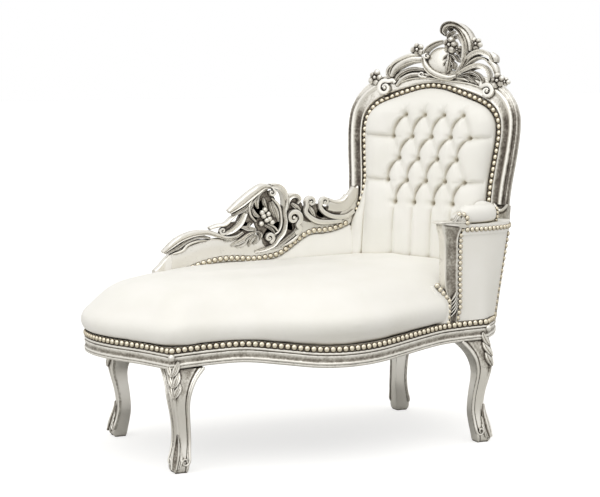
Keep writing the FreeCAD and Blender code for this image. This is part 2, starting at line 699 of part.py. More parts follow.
# The tall back: everything in it is laid out flat, X across, Y up the back, Z to the sitter
back_angle = math.radians(size("back_turn"))
lean_angle = math.radians(size("back_lean"))
across = Vector(math.cos(back_angle), -math.sin(back_angle), 0)
upward = Vector(math.sin(lean_angle) * math.sin(back_angle),
                math.sin(lean_angle) * math.cos(back_angle), math.cos(lean_angle))
forward = across.cross(upward)
back_foot = Vector(centre_x + size("back_foot_x"), centre_y + size("back_foot_y"), size("back_foot_z"))
back_place = Placement(back_foot, Rotation(across, upward, forward, "ZXY"))
frame_rear = -size("back_frame_rear")
frame_front = size("back_frame_front")
lip_face = frame_front - size("nail_lip_depth")
lip_width = size("nail_diameter") + 2 * size("nail_seat_gap")
back_half = size("back_half_width")
opening_half = size("back_opening_half")
crest_height = size("crest_height")
opening_height = size("opening_height")
back_foot_drop = size("back_foot_z") - size("nail_line_height")
ARCH_SPRING_SHARE = 0.6

# Outer edge and opening of the back: (half width share, height share of the crest or opening)
OUTER_SHAPE_SHARES = [(1.0, 0.0), (0.99, 0.13), (1.005, 0.27), (1.035, 0.42), (1.055, 0.56), (1.055, 0.66),
                      (1.03, 0.74), (0.96, 0.82), (0.83, 0.895), (0.64, 0.945), (0.42, 0.972), (0.21, 0.99),
                      (0.0, 1.0)]
OPENING_SHAPE_SHARES = [(1.0, 0.0), (1.0, 0.16), (1.01, 0.30), (1.04, 0.45), (1.075, 0.60), (1.08, 0.70),
                        (1.05, 0.775), (0.95, 0.845), (0.80, 0.89), (0.61, 0.925), (0.40, 0.96),
                        (0.19, 0.99), (0.0, 1.0)]


def arch_points(shares, half_width, height, grow=0, level=0):
    """Points of an arch from its right foot over the top to its left foot."""
    right = []
    for width_share, height_share in shares:
        side = Vector(width_share * half_width, height_share * height, level)
        outward = Vector(1, 0, 0)
        if height_share > ARCH_SPRING_SHARE:
            outward = Vector(side.x, (side.y - ARCH_SPRING_SHARE * height) / ARCH_SPRING_SHARE, 0)
        right.append(side + outward.normalize() * grow)
    left = [Vector(-point.x, point.y, level) for point in reversed(right[:-1])]
    return right + left


def arch_solid(shares, half_width, height, foot, low, high, grow=0, foot_half=None):
    """Arched plate between two levels, drawn down to its foot."""
    points = arch_points(shares, half_width, height, grow, low)
    edges = arcs(points)
    first, last = points[0], points[-1]
    foot_x = first.x if foot_half is None else foot_half + grow
    foot_left = Vector(-foot_x, -foot, low)
    foot_right = Vector(foot_x, -foot, low)
    edges += [Part.makeLine(last, foot_left), Part.makeLine(foot_left, foot_right),
              Part.makeLine(foot_right, first)]
    return Part.Face(Part.Wire(edges)).extrude(Vector(0, 0, high - low))


def in_back(shape):
    """A shape of the back's own plane, as it stands in the room."""
    copy = shape.copy()
    copy.Placement = back_place
    return copy


def from_room(shape):
    """A standing shape, brought into the back's own plane."""
    copy = shape.copy()
    copy.Placement = back_place.inverse().multiply(copy.Placement)
    return copy


outer_plate = arch_solid(OUTER_SHAPE_SHARES, back_half, crest_height, back_foot_drop, frame_rear, frame_front,
                         0, size("back_foot_half"))
opening_plate = arch_solid(OPENING_SHAPE_SHARES, opening_half, opening_height, back_foot_drop * 2,
                           frame_rear * 2, frame_front * 2)
lip_plate = arch_solid(OPENING_SHAPE_SHARES, opening_half, opening_height, back_foot_drop * 2,
                       lip_face, frame_front * 2, lip_width)
back_ring = outer_plate.cut(opening_plate).cut(lip_plate)
wide = crest_height * 2
joint_height = size("stile_joint_height")
crest_zone = Part.makeBox(2 * wide, wide, 2 * wide, Vector(-wide, joint_height, -wide))
crest_rail = back_ring.common(crest_zone)
stiles = back_ring.cut(crest_zone).Solids
tenon_middle = (back_half * OUTER_SHAPE_SHARES[5][0] + opening_half * OPENING_SHAPE_SHARES[5][0]
                + lip_width) / 2
gap = size("tenon_clearance")
under_local = from_room(under_tops)
stile_shapes = {}
for label, side in (("back_stile_left", -1), ("back_stile_right", 1)):
    stile = [piece for piece in stiles if piece.CenterOfMass.x * side > 0][0]
    corner = Vector(side * tenon_middle - size("back_tenon_width") / 2, joint_height,
                    (frame_rear + lip_face - size("back_tenon_depth")) / 2)
    tenon = Part.makeBox(size("back_tenon_width"), size("back_tenon_length"), size("back_tenon_depth"), corner)
    mortise = Part.makeBox(size("back_tenon_width") + 2 * gap, size("back_tenon_length") + gap,
                           size("back_tenon_depth") + 2 * gap, corner - Vector(gap, 0, gap))
    crest_rail = crest_rail.cut(mortise)
    stile_shapes[label] = largest(stile.fuse(tenon).cut(under_local))
for label, shape in stile_shapes.items():
    keep(label, shape, back_place)
crest_rail = largest(crest_rail)
keep("back_crest_rail", crest_rail, back_place)
lower_top = -size("lower_rail_drop")
stile_inner = opening_half - soft_gap
lower_rail = Part.makeBox(2 * stile_inner, size("lower_rail_height"),
                          lip_face - frame_rear - size("panel_thickness"),
                          Vector(-stile_inner, lower_top - size("lower_rail_height"), frame_rear))
keep("back_lower_rail", lower_rail, back_place)

# Back padding: a crowned pad drawn down to deep tufts by folded pleats
TUFT_ROWS_SHARES = [(-1.5, -0.5, 0.5, 1.5), (-2.0, -1.0, 0.0, 1.0, 2.0), (-1.5, -0.5, 0.5, 1.5),
                    (-2.0, -1.0, 0.0, 1.0, 2.0), (-1.5, -0.5, 0.5, 1.5)]
PAD_HEIGHT_SHARES = [-0.365, -0.24, -0.12, 0.0, 0.16, 0.30, 0.45, 0.60, 0.70, 0.775, 0.845, 0.89, 0.925, 0.96,
                     0.985]
# Crown of the pad over its edge, by height share of the opening
PAD_CROWN_SHARES = [(-0.40, 0.55), (-0.20, 0.80), (0.0, 1.0), (0.60, 1.0), (0.80, 0.86), (0.90, 0.58),
                    (0.985, 0.10), (1.0, 0.0)]
PAD_SHOULDER_SHARE = 0.82
PAD_SHOULDER_RISE_SHARE = 0.62
PAD_ROLL_SHARE = 0.94
pad_floor = frame_rear + size("panel_thickness") + size("web_thickness") * 2 + soft_gap * 4
OPENING_WIDTH_SHARES = [(height, width) for width, height in OPENING_SHAPE_SHARES]


def pad_slice(height_share, grow):
    """Crowned slice across the back pad at one height."""
    height = height_share * opening_height
    half = smooth(OPENING_WIDTH_SHARES, height_share) * opening_half - 2 * fit_gap + grow
    edge = size("back_pad_edge") + grow
    rise = (size("back_pad_crown") - size("back_pad_edge")) * smooth(PAD_CROWN_SHARES, height_share)
    shoulder = edge + rise * PAD_SHOULDER_RISE_SHARE
    roll = edge + rise * PAD_SHOULDER_RISE_SHARE * PAD_SHOULDER_RISE_SHARE
    floor = pad_floor - grow
    corners = [Vector(-half, height, edge), Vector(-half * PAD_ROLL_SHARE, height, roll),
               Vector(-half * PAD_SHOULDER_SHARE, height, shoulder), Vector(0, height, edge + rise),
               Vector(half * PAD_SHOULDER_SHARE, height, shoulder),
               Vector(half * PAD_ROLL_SHARE, height, roll),
               Vector(half, height, edge)]
    low_right = Vector(half, height, floor)
    low_left = Vector(-half, height, floor)
    edges = arcs(corners) + [Part.makeLine(corners[-1], low_right), Part.makeLine(low_right, low_left),
                             Part.makeLine(low_left, corners[0])]
    return Part.Wire(edges)


back_pad = loft([pad_slice(share, 0) for share in PAD_HEIGHT_SHARES])
PLEAT_OVERRUN_SHARE = 0.2
pleat_overrun = size("pleat_half_width") * PLEAT_OVERRUN_SHARE
TOOL_OVERRUN_SHARE = 1.3
tool_top = size("back_pad_crown") * TOOL_OVERRUN_SHARE


def wedge(start, end, floor, half_width):
    """V-shaped cutter between two points, its edge at a floor level."""
    along = end - start
    side = Vector(-along.y, along.x, 0).normalize()
    spread = half_width * (tool_top - floor) / (size("back_pad_crown") - floor)
    reach = along * (pleat_overrun / along.Length)
    first = start - reach
    corners = [Vector(first.x, first.y, floor), first + side * spread + Vector(0, 0, tool_top),
               first - side * spread + Vector(0, 0, tool_top)]
    return Part.Face(polygon(corners)).extrude(along + reach * 2)


tufts = []
for index, row in enumerate(TUFT_ROWS_SHARES):
    height = size("tuft_first_height") + index * size("tuft_rise")
    tufts.append([Vector(share * size("tuft_spread"), height, 0) for share in row])
pleat_half = size("pleat_half_width")
cutters = []
for low_row, high_row in zip(tufts, tufts[1:]):
    for low_tuft in low_row:
        for high_tuft in high_row:
            if abs(low_tuft.x - high_tuft.x) < size("tuft_spread"):
                cutters.append(wedge(low_tuft, high_tuft, size("pleat_floor"), pleat_half))
for index in (1, 3):
    for tuft in (tufts[index][0], tufts[index][-1]):
        edge_point = Vector(math.copysign(opening_half, tuft.x), tuft.y, 0)
        cutters.append(wedge(tuft, edge_point, size("side_pleat_floor"), pleat_half))
for tuft in tufts[0]:
    low_point = Vector(tuft.x, lower_top, 0)
    cutters.append(wedge(low_point, tuft, size("long_pleat_floor"), pleat_half / 2))
for tuft in tufts[-1]:
    high_point = tuft + Vector(0, size("tuft_rise"), 0)
    cutters.append(wedge(tuft, high_point, size("long_pleat_floor"), pleat_half / 2))
for row in tufts:
    for tuft in row:
        floor = Vector(tuft.x, tuft.y, size("tuft_floor"))
        cutters.append(Part.makeCone(size("button_diameter") / 2 + soft_gap, size("tuft_half_width"),
                                     tool_top - size("tuft_floor"), floor))
foam_inset = size("cover_thickness") * 2
foam_front = pad_floor + size("back_foam_thickness")
pad_foot = -PAD_HEIGHT_SHARES[0] * opening_height
back_foam = arch_solid(OPENING_SHAPE_SHARES, opening_half, opening_height, pad_foot - foam_inset - soft_gap,
                       pad_floor, foam_front - soft_gap, -foam_inset - soft_gap)
foam_room = arch_solid(OPENING_SHAPE_SHARES, opening_half, opening_height, pad_foot - foam_inset,
                       pad_floor * 2, foam_front, -foam_inset)
back_cover = largest(back_pad.cut(cutters).cut(foam_room))
keep("back_cover", back_cover, back_place)
keep("back_foam", back_foam, back_place)

button_radius = size("button_diameter") / 2
ball_radius = (button_radius ** 2 + size("button_height") ** 2) / (2 * size("button_height"))
button = Part.makeSphere(ball_radius, Vector(0, 0, size("button_height") - ball_radius))
button = button.common(Part.makeBox(4 * button_radius, 4 * button_radius, 2 * size("button_height"),
                                    Vector(-2 * button_radius, -2 * button_radius, 0)))
buttons = []
for row in tufts:
    for tuft in row:
        buttons.append(placed(button, Vector(tuft.x, tuft.y, size("tuft_floor") + soft_gap), UP))
keep("tuft_buttons", Part.makeCompound(buttons), back_place)

# Behind the padding: straps, and the flat outer panel
back_panel = arch_solid(OPENING_SHAPE_SHARES, opening_half, opening_height, -lower_top - soft_gap,
                        frame_rear, frame_rear + size("panel_thickness"), -soft_gap)
keep("back_outer_panel", back_panel, back_place)
strap_floor = frame_rear + size("panel_thickness") + soft_gap
BACK_CROSS_STRAP_SHARES = [-0.18, 0.06, 0.30, 0.54, 0.74]
BACK_LONG_STRAP_SHARES = [-0.52, 0.0, 0.52]
back_straps = []
strap_room = arch_solid(OPENING_SHAPE_SHARES, opening_half, opening_height, -lower_top - size("web_end_gap"),
                        frame_rear, frame_front, -size("web_end_gap"))
for share in BACK_CROSS_STRAP_SHARES:
    strap = Part.makeBox(2 * wide, size("web_width"), size("web_thickness"),
                         Vector(-wide, share * opening_height - web_half, strap_floor))
    back_straps.append(strap.common(strap_room))
for share in BACK_LONG_STRAP_SHARES:
    strap = Part.makeBox(size("web_width"), 2 * wide, size("web_thickness"),
                         Vector(share * opening_half - web_half, -wide,
                                strap_floor + size("web_thickness") + soft_gap))
    back_straps.append(strap.common(strap_room))
keep("back_webbing", Part.makeCompound([largest(strap) for strap in back_straps]), back_place)

# Zones that the seat and the other backs keep clear of
behind_back = in_back(Part.makeBox(2 * wide, 2 * wide, wide,
                                   Vector(-wide, -wide, frame_front + soft_gap - wide)))
pad_zone = in_back(loft([pad_slice(share, fit_gap) for share in PAD_HEIGHT_SHARES]))

# Low back along the rear: a carved rail with its end post, a leather pad and an outer panel.
# Shares of the half length against shares of the crest height above the seat rail.
LOW_NAIL_SHARES = [(-0.72, 0.30), (-0.50, 0.322), (-0.463, 0.338), (-0.38, 0.362), (-0.289, 0.376),
                   (-0.189, 0.378), (-0.048, 0.369), (0.10, 0.390), (0.164, 0.424), (0.228, 0.470),
                   (0.287, 0.508), (0.347, 0.533), (0.424, 0.536), (0.492, 0.544), (0.565, 0.566),
                   (0.623, 0.597), (0.675, 0.655), (0.71, 0.74)]
LOW_TOP_SHARES = [(-0.723, 0.325), (-0.69, 0.355), (-0.65, 0.400), (-0.58, 0.448), (-0.498, 0.475),
                  (-0.374, 0.508), (-0.208, 0.508), (-0.042, 0.497), (0.083, 0.530), (0.166, 0.576),
                  (0.249, 0.625), (0.353, 0.645), (0.457, 0.652), (0.540, 0.662), (0.592, 0.714),
                  (0.65, 0.80), (0.70, 0.84)]
low_scale = size("low_rail_rise")
low_front = centre_y + size("low_rail_front")
low_rear = low_front + size("low_rail_thickness")


def low_nail(x):
    """Nail row height along the low back."""
    share = (x - centre_x) / half_x
    return size("nail_line_height") + low_scale * smooth(LOW_NAIL_SHARES, share)


def low_top(x):
    """Top edge of the low rail under its carving."""
    share = (x - centre_x) / half_x
    return size("nail_line_height") + low_scale * smooth(LOW_TOP_SHARES, share)


post_left = centre_x + LOW_TOP_SHARES[0][0] * half_x
post_right = post_left + size("low_post_width")
low_end = centre_x + size("back_foot_x")
low_stations = evenly(post_left, low_end, 41)
outline = [Vector(x, low_front, low_top(x)) for x in low_stations]
outline += [Vector(x, low_front, low_nail(x) - nail_band) for x in reversed(low_stations) if x > post_right]
outline.append(Vector(post_right, low_front, low_nail(post_right) - nail_band))
post_sink = tool_reach / 2
outline.append(Vector(post_right, low_front, slope_height(post_right) - post_sink))
outline.append(Vector(post_left, low_front, slope_height(post_left) - post_sink))
low_plate = prism(outline, Vector(0, low_rear - low_front, 0))
low_plate = low_plate.cut(behind_back)
low_plate = low_plate.cut(under_tops)
low_rail = largest(low_plate)
keep("low_rail", low_rail)


def low_pad_wire(x, grow):
    """Upright slice of the low pad: flat behind, bulging to the front."""
    rear = low_rear - size("panel_thickness") - soft_gap + grow
    top = low_nail(x) - nail_band - fit_gap + grow
    foot = slope_height(x)
    front_foot = low_front - size("low_pad_bulge") / 2 - grow
    front_top = low_front - grow
    middle = Vector(x, low_front - size("low_pad_bulge") - grow,
                    foot + (top - foot) * PAD_SHOULDER_RISE_SHARE)
    bulge = Part.Arc(Vector(x, front_foot, foot), middle, Vector(x, front_top, top)).toShape()
    return Part.Wire([bulge, Part.makeLine(Vector(x, front_top, top), Vector(x, rear, top)),
                      Part.makeLine(Vector(x, rear, top), Vector(x, rear, foot)),
                      Part.makeLine(Vector(x, rear, foot), Vector(x, front_foot, foot))])


pad_stations = evenly(post_right + soft_gap, low_end, 21)
low_pad_whole = loft([low_pad_wire(x, 0) for x in pad_stations])
low_pad_zone = loft([low_pad_wire(x, fit_gap) for x in evenly(post_right, low_end, 21)])
low_cover = low_pad_whole.cut(behind_back).cut(pad_zone).cut(under_tops)
low_foam_wires = []
for x in evenly(post_right + size("cover_thickness") * 2, low_end, 15):
    top = low_nail(x) - nail_band - size("cover_thickness") * 2
    foot = slope_height(x) + rail_lip + size("cover_thickness") * 2
    near = low_front + size("cover_thickness")
    far = low_rear - size("panel_thickness") - soft_gap
    low_foam_wires.append(polygon([Vector(x, near, foot), Vector(x, near, top), Vector(x, far, top),
                                   Vector(x, far, foot)]))
low_foam_whole = loft(low_foam_wires)
foam_reach = in_back(Part.makeBox(2 * wide, 2 * wide, wide,
                                  Vector(-wide, -wide, frame_front + size("cover_thickness") * 2 - wide)))
low_foam = largest(low_foam_whole.cut(foam_reach))
low_cover = largest(low_cover.cut(low_foam))
low_foam = largest(low_foam.cut(in_back(Part.makeBox(2 * wide, 2 * wide, wide, Vector(
    -wide, -wide, frame_front + size("cover_thickness") * 2 + soft_gap - wide)))))
keep("low_back_cover", low_cover)
keep("low_back_foam", low_foam)
panel_outline = [Vector(x, low_rear - size("panel_thickness"), low_nail(x) - nail_band - fit_gap)
                 for x in evenly(post_right + soft_gap, low_end, 25)]
panel_outline += [Vector(low_end, low_rear - size("panel_thickness"), size("nail_line_height")),
                  Vector(post_right + soft_gap, low_rear - size("panel_thickness"), size("nail_line_height"))]
low_panel = prism(panel_outline, Vector(0, size("panel_thickness"), 0))
low_panel = largest(low_panel.cut(behind_back).cut(under_tops))
keep("low_back_outer_panel", low_panel)

# Corner panel: closes the seat frame's corner behind the tall back, from the rails up to the back
hip_half = size("hip_half_width")
rear_gap = frame_rear - soft_gap
HIP_SPREAD_SHARES = [(0.0, 0.0), (0.35, 0.20), (0.7, 0.56), (1.0, 0.88)]


def rear_point(u, z, level):
    """Point of the back's own plane at a height above the floor."""
    rise = (z - back_foot.z - level * forward.z) / upward.z
    return back_foot + across * u + upward * rise + forward * level


def hip_wire(height_share, inset):
    """Level slice of the corner panel's outside."""
    low = size("nail_line_height")
    high = back_foot.z + size("hip_height")
    z = low + (high - low) * height_share - inset
    spread = smooth(HIP_SPREAD_SHARES, height_share)
    level = rear_gap if inset == 0 else frame_front
    half = hip_half - inset
    points = [rear_point(-half, z, level)]
    count = len(hip_base) + 1
    middle = rear_point(0, z, level)
    for index, base in enumerate(hip_base, start=1):
        place = rear_point(-half + 2 * half * index / count, z, rear_gap)
        bottom = Vector(base.x, base.y, z)
        point = bottom + (place - bottom) * spread
        toward = middle - point
        points.append(point + toward * (inset / toward.Length))
    points.append(rear_point(half, z, level))
    return polygon(points)


rail_inset = size("nail_recess")
HIP_REAR_SHARES = [0.80, 0.87, 0.94]
HIP_HEAD_SHARES = [0.80, 0.55, 0.30, 0.07, -0.10]
hip_base = []
for share in HIP_REAR_SHARES:
    x = centre_x + share * half_x
    hip_base.append(Vector(x, rear_edge(x) - rail_inset, 0))
corner_x, corner_y = plan_corner(1, 1)
hip_base.append(Vector(corner_x - rail_inset, corner_y - rail_inset, 0))
for share in HIP_HEAD_SHARES:
    y = centre_y + share * half_y
    hip_base.append(Vector(head_edge(y) - rail_inset, y, 0))
HIP_LEVELS = 5
hip_levels = evenly(0, 1, HIP_LEVELS)
hip_outer = loft([hip_wire(share, 0) for share in hip_levels])
hip_inner = loft([hip_wire(share, size("panel_thickness")) for share in hip_levels])
hip_panel = hip_outer.cut(hip_inner)
hip_panel = largest(hip_panel.cut(under_tops))
keep("corner_outer_panel", hip_panel)

# Arm: post, rail, padding and outer panel follow one curved path, (x, y) shares of the half spans
ARM_OUTER_SHARES = [(0.795, -1.015), (0.893, -1.015), (0.995, -1.0), (1.09, -0.955), (1.18, -0.875),
                    (1.25, -0.70), (1.295, -0.53)]
ARM_INNER_SHARES = [(0.795, -0.872), (0.893, -0.872), (0.985, -0.86), (1.06, -0.82), (1.12, -0.755),
                    (1.17, -0.62), (1.21, -0.47)]
ARM_FOOT_SHARES = [(0.795, -0.996), (0.893, -0.990), (0.993, -0.981), (1.05, -0.89), (1.107, -0.795),
                   (1.146, -0.70), (1.203, -0.55)]
ARM_FALL_SHARES = [0.0, 0.0, 0.0, 0.10, 0.28, 0.42, 0.50]
arm_top = size("arm_height")
arm_low = arm_top - size("arm_rail_depth")


ARM_STATIONS = 15


def arm_path(shares, stations):
    """Points of the smooth curve through rows of plan shares."""
    rows = [Vector(centre_x + x * half_x, centre_y + y * half_y, 0) for x, y in shares]
    line = Part.BSplineCurve()
    line.interpolate(rows, Parameters=[float(index) for index in range(len(rows))])
    return [line.value(place) for place in evenly(0, len(rows) - 1, stations)]


arm_outer = arm_path(ARM_OUTER_SHARES, ARM_STATIONS)
arm_inside = arm_path(ARM_INNER_SHARES, ARM_STATIONS)
arm_foot = arm_path(ARM_FOOT_SHARES, ARM_STATIONS)


def arm_between(index, part, z):
    """Point across the arm's path: part 0 outside, 1 inside."""
    point = arm_outer[index] + (arm_inside[index] - arm_outer[index]) * part
    return Vector(point.x, point.y, z)


POST_LEFT_SHARES = [(0.0, 0.766), (0.20, 0.773), (0.36, 0.746), (0.50, 0.729), (0.70, 0.729), (0.88, 0.721),
                    (0.97, 0.715)]
POST_RIGHT_SHARES = [(0.0, 0.793), (0.20, 0.806), (0.36, 0.797), (0.50, 0.794), (0.70, 0.796), (0.88, 0.806),
                     (0.97, 0.840)]
POST_CAP_SHARES = [(0.985, 0.855), (1.03, 0.862), (1.085, 0.82), (1.12, 0.783), (1.085, 0.72), (1.045, 0.668),
                   (1.0, 0.652), (0.982, 0.66)]
post_foot = size("nail_line_height")
post_rise = arm_top - post_foot
post_front = centre_y + ARM_OUTER_SHARES[0][1] * half_y - size("arm_post_proud")


def post_point(height_share, x_share):
    return Vector(centre_x + x_share * half_x, post_front, post_foot + height_share * post_rise)


post_outline_points = [post_point(*row) for row in POST_RIGHT_SHARES]
post_outline_points += [post_point(*row) for row in POST_CAP_SHARES]
post_outline_points += [post_point(*row) for row in reversed(POST_LEFT_SHARES)]
arm_post = prism(post_outline_points, Vector(0, size("arm_post_depth"), 0))
arm_post = largest(arm_post.cut([seat_tools[0], under_tops]))
keep("arm_post", arm_post)

rail_wires = []
pad_wires = []
arm_foam_wires = []
arm_foam_room_wires = []
panel_wires = []
inner_wires = []
inner_zone_wires = []
panel_thickness = size("panel_thickness")
inner_bulge = size("arm_inner_thickness")
# Rounded section of the arm pad: share across the rail, share of its height, overhang share
ARM_PAD_SHARES = [(0.08, 0.0, 0), (0.0, 0.42, -1), (0.12, 0.88, 0), (0.5, 1.0, 0), (0.88, 0.88, 0),
                  (1.0, 0.42, 1), (0.92, 0.0, 0)]
ARM_FOAM_SHARES = (0.2, 0.8)
INNER_HEAD_SHARE = 0.8
INNER_BELLY_SHARE = 1.25
# The pad leaves its rail near the back and slides in front of the stile, shares of the rail's width
ARM_SLIDE_SHARES = [0.0, 0.0, 0.0, 0.05, 0.35, 0.75, 1.05]
for index in range(ARM_STATIONS):
    row_place = index * (len(ARM_FALL_SHARES) - 1) / (ARM_STATIONS - 1)
    fall = smooth(list(enumerate(ARM_FALL_SHARES)), row_place)
    slide = (arm_inside[index] - arm_outer[index]) * smooth(list(enumerate(ARM_SLIDE_SHARES)), row_place)
    rail_wires.append(polygon([arm_between(index, 0, arm_low), arm_between(index, 1, arm_low),
                               arm_between(index, 1, arm_top), arm_between(index, 0, arm_top)]))
    outer = arm_outer[index]
    inward = (arm_inside[index] - outer).normalize()
    floor = arm_top + 2 * soft_gap
    rise = size("arm_pad_height") * (1 - fall)
    section = []
    for part, height_share, over in ARM_PAD_SHARES:
        point = arm_between(index, part, floor + rise * height_share) + slide
        section.append(point + inward * (over * size("arm_pad_overhang")))
    pad_wires.append(Part.Wire(arcs(section) + [Part.makeLine(section[-1], section[0])]))
    for wires, grow in ((arm_foam_wires, 0), (arm_foam_room_wires, soft_gap)):
        low = floor if grow == 0 else floor - rise
        high = floor + rise / 2 + grow
        near = arm_between(index, ARM_FOAM_SHARES[0], low) + slide - inward * grow
        far = arm_between(index, ARM_FOAM_SHARES[1], low) + slide + inward * grow
        wires.append(polygon([near, far, Vector(far.x, far.y, high), Vector(near.x, near.y, high)]))
    rail_face = outer + inward * size("nail_recess")
    foot = arm_foot[index] + UP * size("nail_line_height")
    head = Vector(rail_face.x, rail_face.y, arm_low - soft_gap)
    thick = inward * panel_thickness
    panel_wires.append(polygon([foot, head, head + thick, foot + thick]))
    start = inward * (panel_thickness + soft_gap)
    depth = inward * inner_bulge
    belly = foot + (head - foot) * PAD_SHOULDER_RISE_SHARE
    inner_head = head + depth * INNER_HEAD_SHARE
    inner_belly = belly + depth * INNER_BELLY_SHARE
    inner_foot = foot + depth
    inner_wires.append(Part.Wire([
        Part.makeLine(foot + start, head + start), Part.makeLine(head + start, inner_head),
        Part.Arc(inner_head, inner_belly, inner_foot).toShape(),
        Part.makeLine(inner_foot, foot + start)]))
    side = inward * fit_gap
    away = inward * -tool_reach
    inner_zone_wires.append(Part.Wire([
        Part.makeLine(foot + away, head + away), Part.makeLine(head + away, inner_head + side),
        Part.Arc(inner_head + side, inner_belly + side, inner_foot + side).toShape(),
        Part.makeLine(inner_foot + side, foot + away)]))
arm_tools = [behind_back, arm_post]
arm_rail = largest(loft(rail_wires).cut(arm_tools))
keep("arm_rail", arm_rail)
arm_foam_room = loft(arm_foam_room_wires)
arm_pad = largest(loft(pad_wires).cut([behind_back, arm_post, pad_zone]).cut(arm_foam_room))
arm_foam = largest(loft(arm_foam_wires).cut([behind_back, arm_post, pad_zone]))
keep("arm_pad_cover", arm_pad)
keep("arm_pad_foam", arm_foam)
arm_panel = largest(loft(panel_wires).cut(arm_tools).cut(under_tops))
keep("arm_outer_panel", arm_panel)
arm_inner = largest(loft(inner_wires).cut([behind_back, arm_post, pad_zone]).cut(under_tops))
keep("arm_inner_pad", arm_inner)

# The seat, trimmed to the backs and the arm
arm_zone = loft(inner_zone_wires)
post_box = Part.makeBox(wide, size("arm_post_depth") + soft_gap + tool_reach, wide,
                        Vector(centre_x + POST_LEFT_SHARES[-1][1] * half_x - soft_gap,
                               post_front - tool_reach, 0))
post_side = centre_x + max(share for height, share in POST_RIGHT_SHARES[:-1]) * half_x + soft_gap
post_box = post_box.common(Part.makeBox(wide, wide, wide, Vector(post_side - wide, centre_y - wide, 0)))
low_post_box = Part.makeBox(wide * 2, wide, wide,
                            Vector(post_left - soft_gap, low_front - size("nail_height") - 2 * fit_gap, 0))
seat_clear = [behind_back, pad_zone, low_pad_zone, low_post_box, arm_zone, post_box]
seat_cover = seat_whole.cut(seat_tools)
for tool in seat_clear:
    seat_cover = largest(seat_cover.cut(tool))
seat_cover = largest(seat_cover.cut(foam_zone))
keep("seat_cover", seat_cover)
for tool in seat_clear:
    seat_foam = largest(seat_foam.cut(tool))
keep("seat_foam", seat_foam)

# Nails: one turned dome, set in rows that touch
nail_body = doc.addObject("PartDesign::Body", "one_nail")
nail_sketch = nail_body.newObject("Sketcher::SketchObject", "nail_sketch")
plane = [item for item in nail_body.Origin.OriginFeatures if item.Role == "XZ_Plane"][0]
nail_sketch.AttachmentSupport = [(plane, "")]
nail_sketch.MapMode = "FlatFace"
rim = Vector(nail_radius, 0, 0)
tip = Vector(0, size("nail_height"), 0)
sphere_radius = (nail_radius ** 2 + size("nail_height") ** 2) / (2 * size("nail_height"))
sphere_centre = Vector(0, size("nail_height") - sphere_radius, 0)
rim_angle = math.atan2(rim.y - sphere_centre.y, rim.x)
nail_circle = Part.Circle(sphere_centre, Vector(0, 0, 1), sphere_radius)
nail_sketch.addGeometry(Part.LineSegment(Vector(0, 0, 0), rim), False)
nail_sketch.addGeometry(Part.ArcOfCircle(nail_circle, rim_angle, math.radians(90)), False)
nail_sketch.addGeometry(Part.LineSegment(tip, Vector(0, 0, 0)), False)
nail_turning = nail_body.newObject("PartDesign::Revolution", "nail_turning")
nail_turning.Profile = nail_sketch
nail_turning.ReferenceAxis = (nail_sketch, ["V_Axis"])
nail_turning.Angle = 360
doc.recompute()


def along(points, pitch, margin):
    """(point, direction) at even steps along a run of points."""
    lengths = [0]
    for first, second in zip(points, points[1:]):
        lengths.append(lengths[-1] + (second - first).Length)
    room = lengths[-1] - 2 * margin
    count = int(room / pitch) + 1
    start = margin + (room - (count - 1) * pitch) / 2
    found = []
    for step in range(count):
        target = start + step * pitch
        index = max(i for i in range(len(points) - 1) if lengths[i] <= target)
        first, second = points[index], points[index + 1]
        direction = (second - first).normalize()
        found.append((first + direction * (target - lengths[index]), direction))
    return found


def nail_row(points, outward_of, lift=size("nail_seat_gap")):
    """Nails along a run of points on a face, each standing square to it."""
    row = []
    for point, direction in along(points, size("nail_pitch"), nail_radius):
        outward = outward_of(direction)
        row.append(placed(nail_body.Shape, point + outward * lift, outward))
    return row


def out_of_plan(direction):
    """Level direction to the right of travel."""
    return Vector(direction.y, -direction.x, 0).normalize()


band = size("nail_recess")
fine = 60
front_line = [Vector(x, front_edge(x) + band, front_nail(x))
              for x in evenly(centre_x - half_x, centre_x + half_x, fine)]
rear_line = [Vector(x, rear_edge(x) - band, side_nail(x)) for x in evenly(front_right, front_left, fine)]
foot_line = [Vector(foot_edge(y) + band, y, foot_nail(y)) for y in evenly(side_rear, side_front, fine)]
head_line = [Vector(head_edge(y) - band, y, side_nail(head_edge(y)))
             for y in evenly(side_front, side_rear, fine)]
# The front row stops short of the posts by this many of its steps
FRONT_STEPS_OFF = 3
front_line = front_line[FRONT_STEPS_OFF:-FRONT_STEPS_OFF]
seat_nails = []
for line, lift in ((front_line, soft_gap), (rear_line, fit_gap), (foot_line, soft_gap), (head_line, fit_gap)):
    seat_nails += nail_row(line, out_of_plan, lift)
keep("seat_nails", Part.makeCompound(seat_nails))

lip_middle = arch_points(OPENING_SHAPE_SHARES, opening_half, opening_height, lip_width / 2, lip_face)
foot_point = Vector(lip_middle[0].x, -size("nail_row_drop"), lip_face)
lip_line = [foot_point]
CURVE_STEPS = 9
arch_edges = arcs(lip_middle)
lip_line.append(lip_middle[0])
for edge in arch_edges:
    lip_line += [edge.valueAt(edge.FirstParameter + (edge.LastParameter - edge.FirstParameter) * part)
                 for part in evenly(0, 1, CURVE_STEPS)[1:]]
lip_line.append(Vector(-foot_point.x, foot_point.y, lip_face))
back_nails = nail_row(lip_line, lambda direction: Vector(0, 0, 1))
keep("back_nails", Part.makeCompound(back_nails), back_place)

low_line = [Vector(x, low_front, low_nail(x)) for x in evenly(post_right, low_end, 2 * fine)]
low_nails = nail_row(low_line, lambda direction: Vector(0, -1, 0))
low_nails = [nail for nail in low_nails if nail.distToShape(behind_back)[0] > soft_gap]
keep("low_rail_nails", Part.makeCompound(low_nails))

